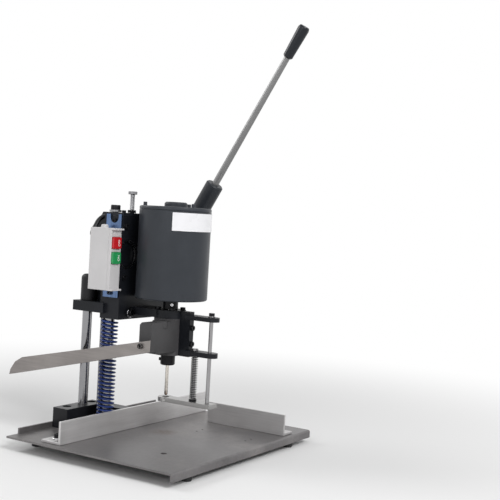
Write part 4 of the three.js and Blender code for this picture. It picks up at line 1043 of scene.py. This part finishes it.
class DRILL_OT_lead(Step, bpy.types.Operator):
    """Rubber lead from the switch box to the head"""

    bl_idname = "drill.lead"
    bl_label = "Lead"

    def build(self):
        rubber = moulded("Lead rubber", (0.008, 0.008, 0.009), gloss=0.42, shine=0.3)
        piece = fine_copy("motor_lead", "rubber_lead", "head", rubber, 0.0)
        smooth = piece.modifiers.new("Round", "SUBSURF")
        smooth.levels = smooth.render_levels = 1
        plain_mesh(piece)
        piece.data.shade_smooth()
        piece.data.set_sharp_from_angle(angle=math.radians(LEAD_SHARP))


class DRILL_OT_screws(Step, bpy.types.Operator):
    """Cap screws that show on the head, bracket, tray, cover and block"""

    bl_idname = "drill.screws"
    bl_label = "Cap screws"

    def build(self):
        oxide = black_metal("Screw oxide")
        for name, direction, size, places in (
            ("nose_screws", UP, M5, [(x, y, 203) for x in (-14.5, 14.5) for y in (-14.5, 14.5)]),
            ("bracket_screws", FRONT, M5, [(0, -44.5, 151), (0, -44.5, 177)]),
            ("pinch_screws", FRONT, M5, [(-53, 59, 252), (-53, 59, 335)]),
            ("tray_screw", LEFT, M5, [(-97.5, -19, 152.6)]),
            ("plate_screw", LEFT, M4, [(-63.7, 76.6, 226)]),
            ("cover_screws", BACK, M4, [(x, 138, z) for x in (-31, 55) for z in (217, 326)]),
            ("top_screws", UP, M4, [(-20, 92, 357), (46, 92, 357)]),
        ):
            screws(name, "head", "black_oxide", oxide, places, direction, *size)
        block = [(-82, 140, 24), (-21, 140, 24)]
        screws("block_screws", "stand", "black_oxide", oxide, block, UP, *BLOCK_HEAD)
        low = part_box("plate_slot_screw")[0]
        middle = (centre("plate_slot_screw") - HOME) / MM
        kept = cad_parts["plate_slot_screw"].data.materials
        kept.clear()
        kept.append(oxide)
        seat = ((low[0] - HOME.x) / MM + 4, middle.y, middle.z)
        screws("slot_screw", "head", "black_oxide", oxide, [seat], LEFT, *M4)


class DRILL_OT_stage(Step, bpy.types.Operator):
    """Floor, backdrop light, lamps and the camera"""

    bl_idname = "drill.stage"
    bl_label = "Stage"

    def build(self):
        scene = bpy.context.scene
        settings = look("drill_stage")
        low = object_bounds()[0]
        mesh = bpy.data.meshes.new("studio_floor")
        corners = ((-1, -1), (1, -1), (1, 1), (-1, 1))
        mesh.from_pydata([(x * FLOOR_HALF, y * FLOOR_HALF, low[2]) for x, y in corners], [], [(0, 1, 2, 3)])
        floor = link("studio_floor", mesh)
        material, tree, shader = new_material("Studio floor")
        shader.inputs["Base Color"].default_value = (*settings.floor, 1)
        shader.inputs["Roughness"].default_value = 0.7
        shader.inputs["Specular IOR Level"].default_value = 0.1
        self.fade(tree, shader)
        floor.data.materials.append(material)
        floor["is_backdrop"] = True
        world = bpy.data.worlds.new("Studio")
        scene.world = world
        world.use_nodes = True
        nodes, links = world.node_tree.nodes, world.node_tree.links
        background = nodes["Background"]
        background.inputs["Color"].default_value = (1, 1, 1, 1)
        strength = mapped(world.node_tree, showing_rays(world.node_tree), 0.0, 1.0, 0.4, 1.0)
        links.new(strength, background.inputs["Strength"])
        self.lamp("key", (-0.7, -2.2, 1.9), 1.2, 44)
        self.lamp("fill", (-2.2, -0.4, 1.2), 1.4, 12)
        self.lamp("rim", (-0.6, 1.8, 1.6), 1.0, 16)
        camera = bpy.data.cameras.new("photo_camera")
        camera.lens = settings.lens
        camera.sensor_width = 36.0
        camera.clip_end = 50
        holder = link("photo_camera", camera)
        forward = Vector((0.8483, 0.5286, -0.0304)).normalized()
        above = Vector((-0.0042, 0.0642, 0.9979))
        right = forward.cross(above).normalized()
        above = right.cross(forward)
        turn = Matrix((right, above, -forward)).transposed().to_4x4()
        holder.matrix_world = Matrix.Translation(HOME + Vector((-1.2844, -0.9474, 0.3561))) @ turn
        scene.camera = holder
        scene.view_settings.view_transform = "Standard"

    def fade(self, tree, shader):
        """Turns the floor far from the machine into the plain background, for rays that show it."""
        away = add(tree, "ShaderNodeVectorMath", {0: object_coordinates(tree)}, operation="LENGTH")
        far = mapped(tree, away.outputs["Value"], FADE_START, FADE_END, easing="SMOOTHSTEP")
        share = reckon(tree, "MULTIPLY", showing_rays(tree), far)
        plain = add(tree, "ShaderNodeEmission", {"Strength": 1.0}).outputs["Emission"]
        mix = add(tree, "ShaderNodeMixShader", {"Fac": share, 1: shader.outputs["BSDF"], 2: plain})
        tree.links.new(mix.outputs["Shader"], tree.nodes["Material Output"].inputs["Surface"])

    def lamp(self, name, place, size, power):
        """A round area lamp aimed at the machine."""
        light = bpy.data.lights.new(name, "AREA")
        light.shape = "DISK"
        light.size = size
        light.energy = power
        aim = Vector((0, 0, 0.2)) - Vector(place)
        turn = aim.to_track_quat("-Z", "Y").to_matrix().to_4x4()
        link(name, light).matrix_world = Matrix.Translation(Vector(place)) @ turn


class DRILL_PT_panel(bpy.types.Panel):
    """Lists the steps and their settings"""

    bl_idname = "DRILL_PT_panel"
    bl_label = "Paper drill"
    bl_space_type = "VIEW_3D"
    bl_region_type = "UI"
    bl_category = "Paper drill"

    def draw(self, context):
        for step in STEPS:
            self.layout.operator(step.bl_idname)
        for group in GROUPS:
            settings = getattr(context.scene, group)
            for name in type(settings).__annotations__:
                self.layout.prop(settings, name)


GROUPS = {
    "drill_table": TableLook, "drill_head": HeadLook, "drill_springs": SpringLook, "drill_switch": SwitchLook,
    "drill_stage": StageLook,
}
STEPS = Step.__subclasses__()


def register():
    for group, kind in GROUPS.items():
        bpy.utils.register_class(kind)
        setattr(bpy.types.Scene, group, bpy.props.PointerProperty(type=kind))
    for kind in (*STEPS, DRILL_PT_panel):
        bpy.utils.register_class(kind)


def unregister():
    for kind in reversed((*STEPS, DRILL_PT_panel)):
        bpy.utils.unregister_class(kind)
    for group, kind in GROUPS.items():
        delattr(bpy.types.Scene, group)
        bpy.utils.unregister_class(kind)


def main():
    register()
    for step in STEPS:
        getattr(bpy.ops.drill, step.bl_idname.removeprefix("drill."))()


if __name__ == "__main__":
    main()
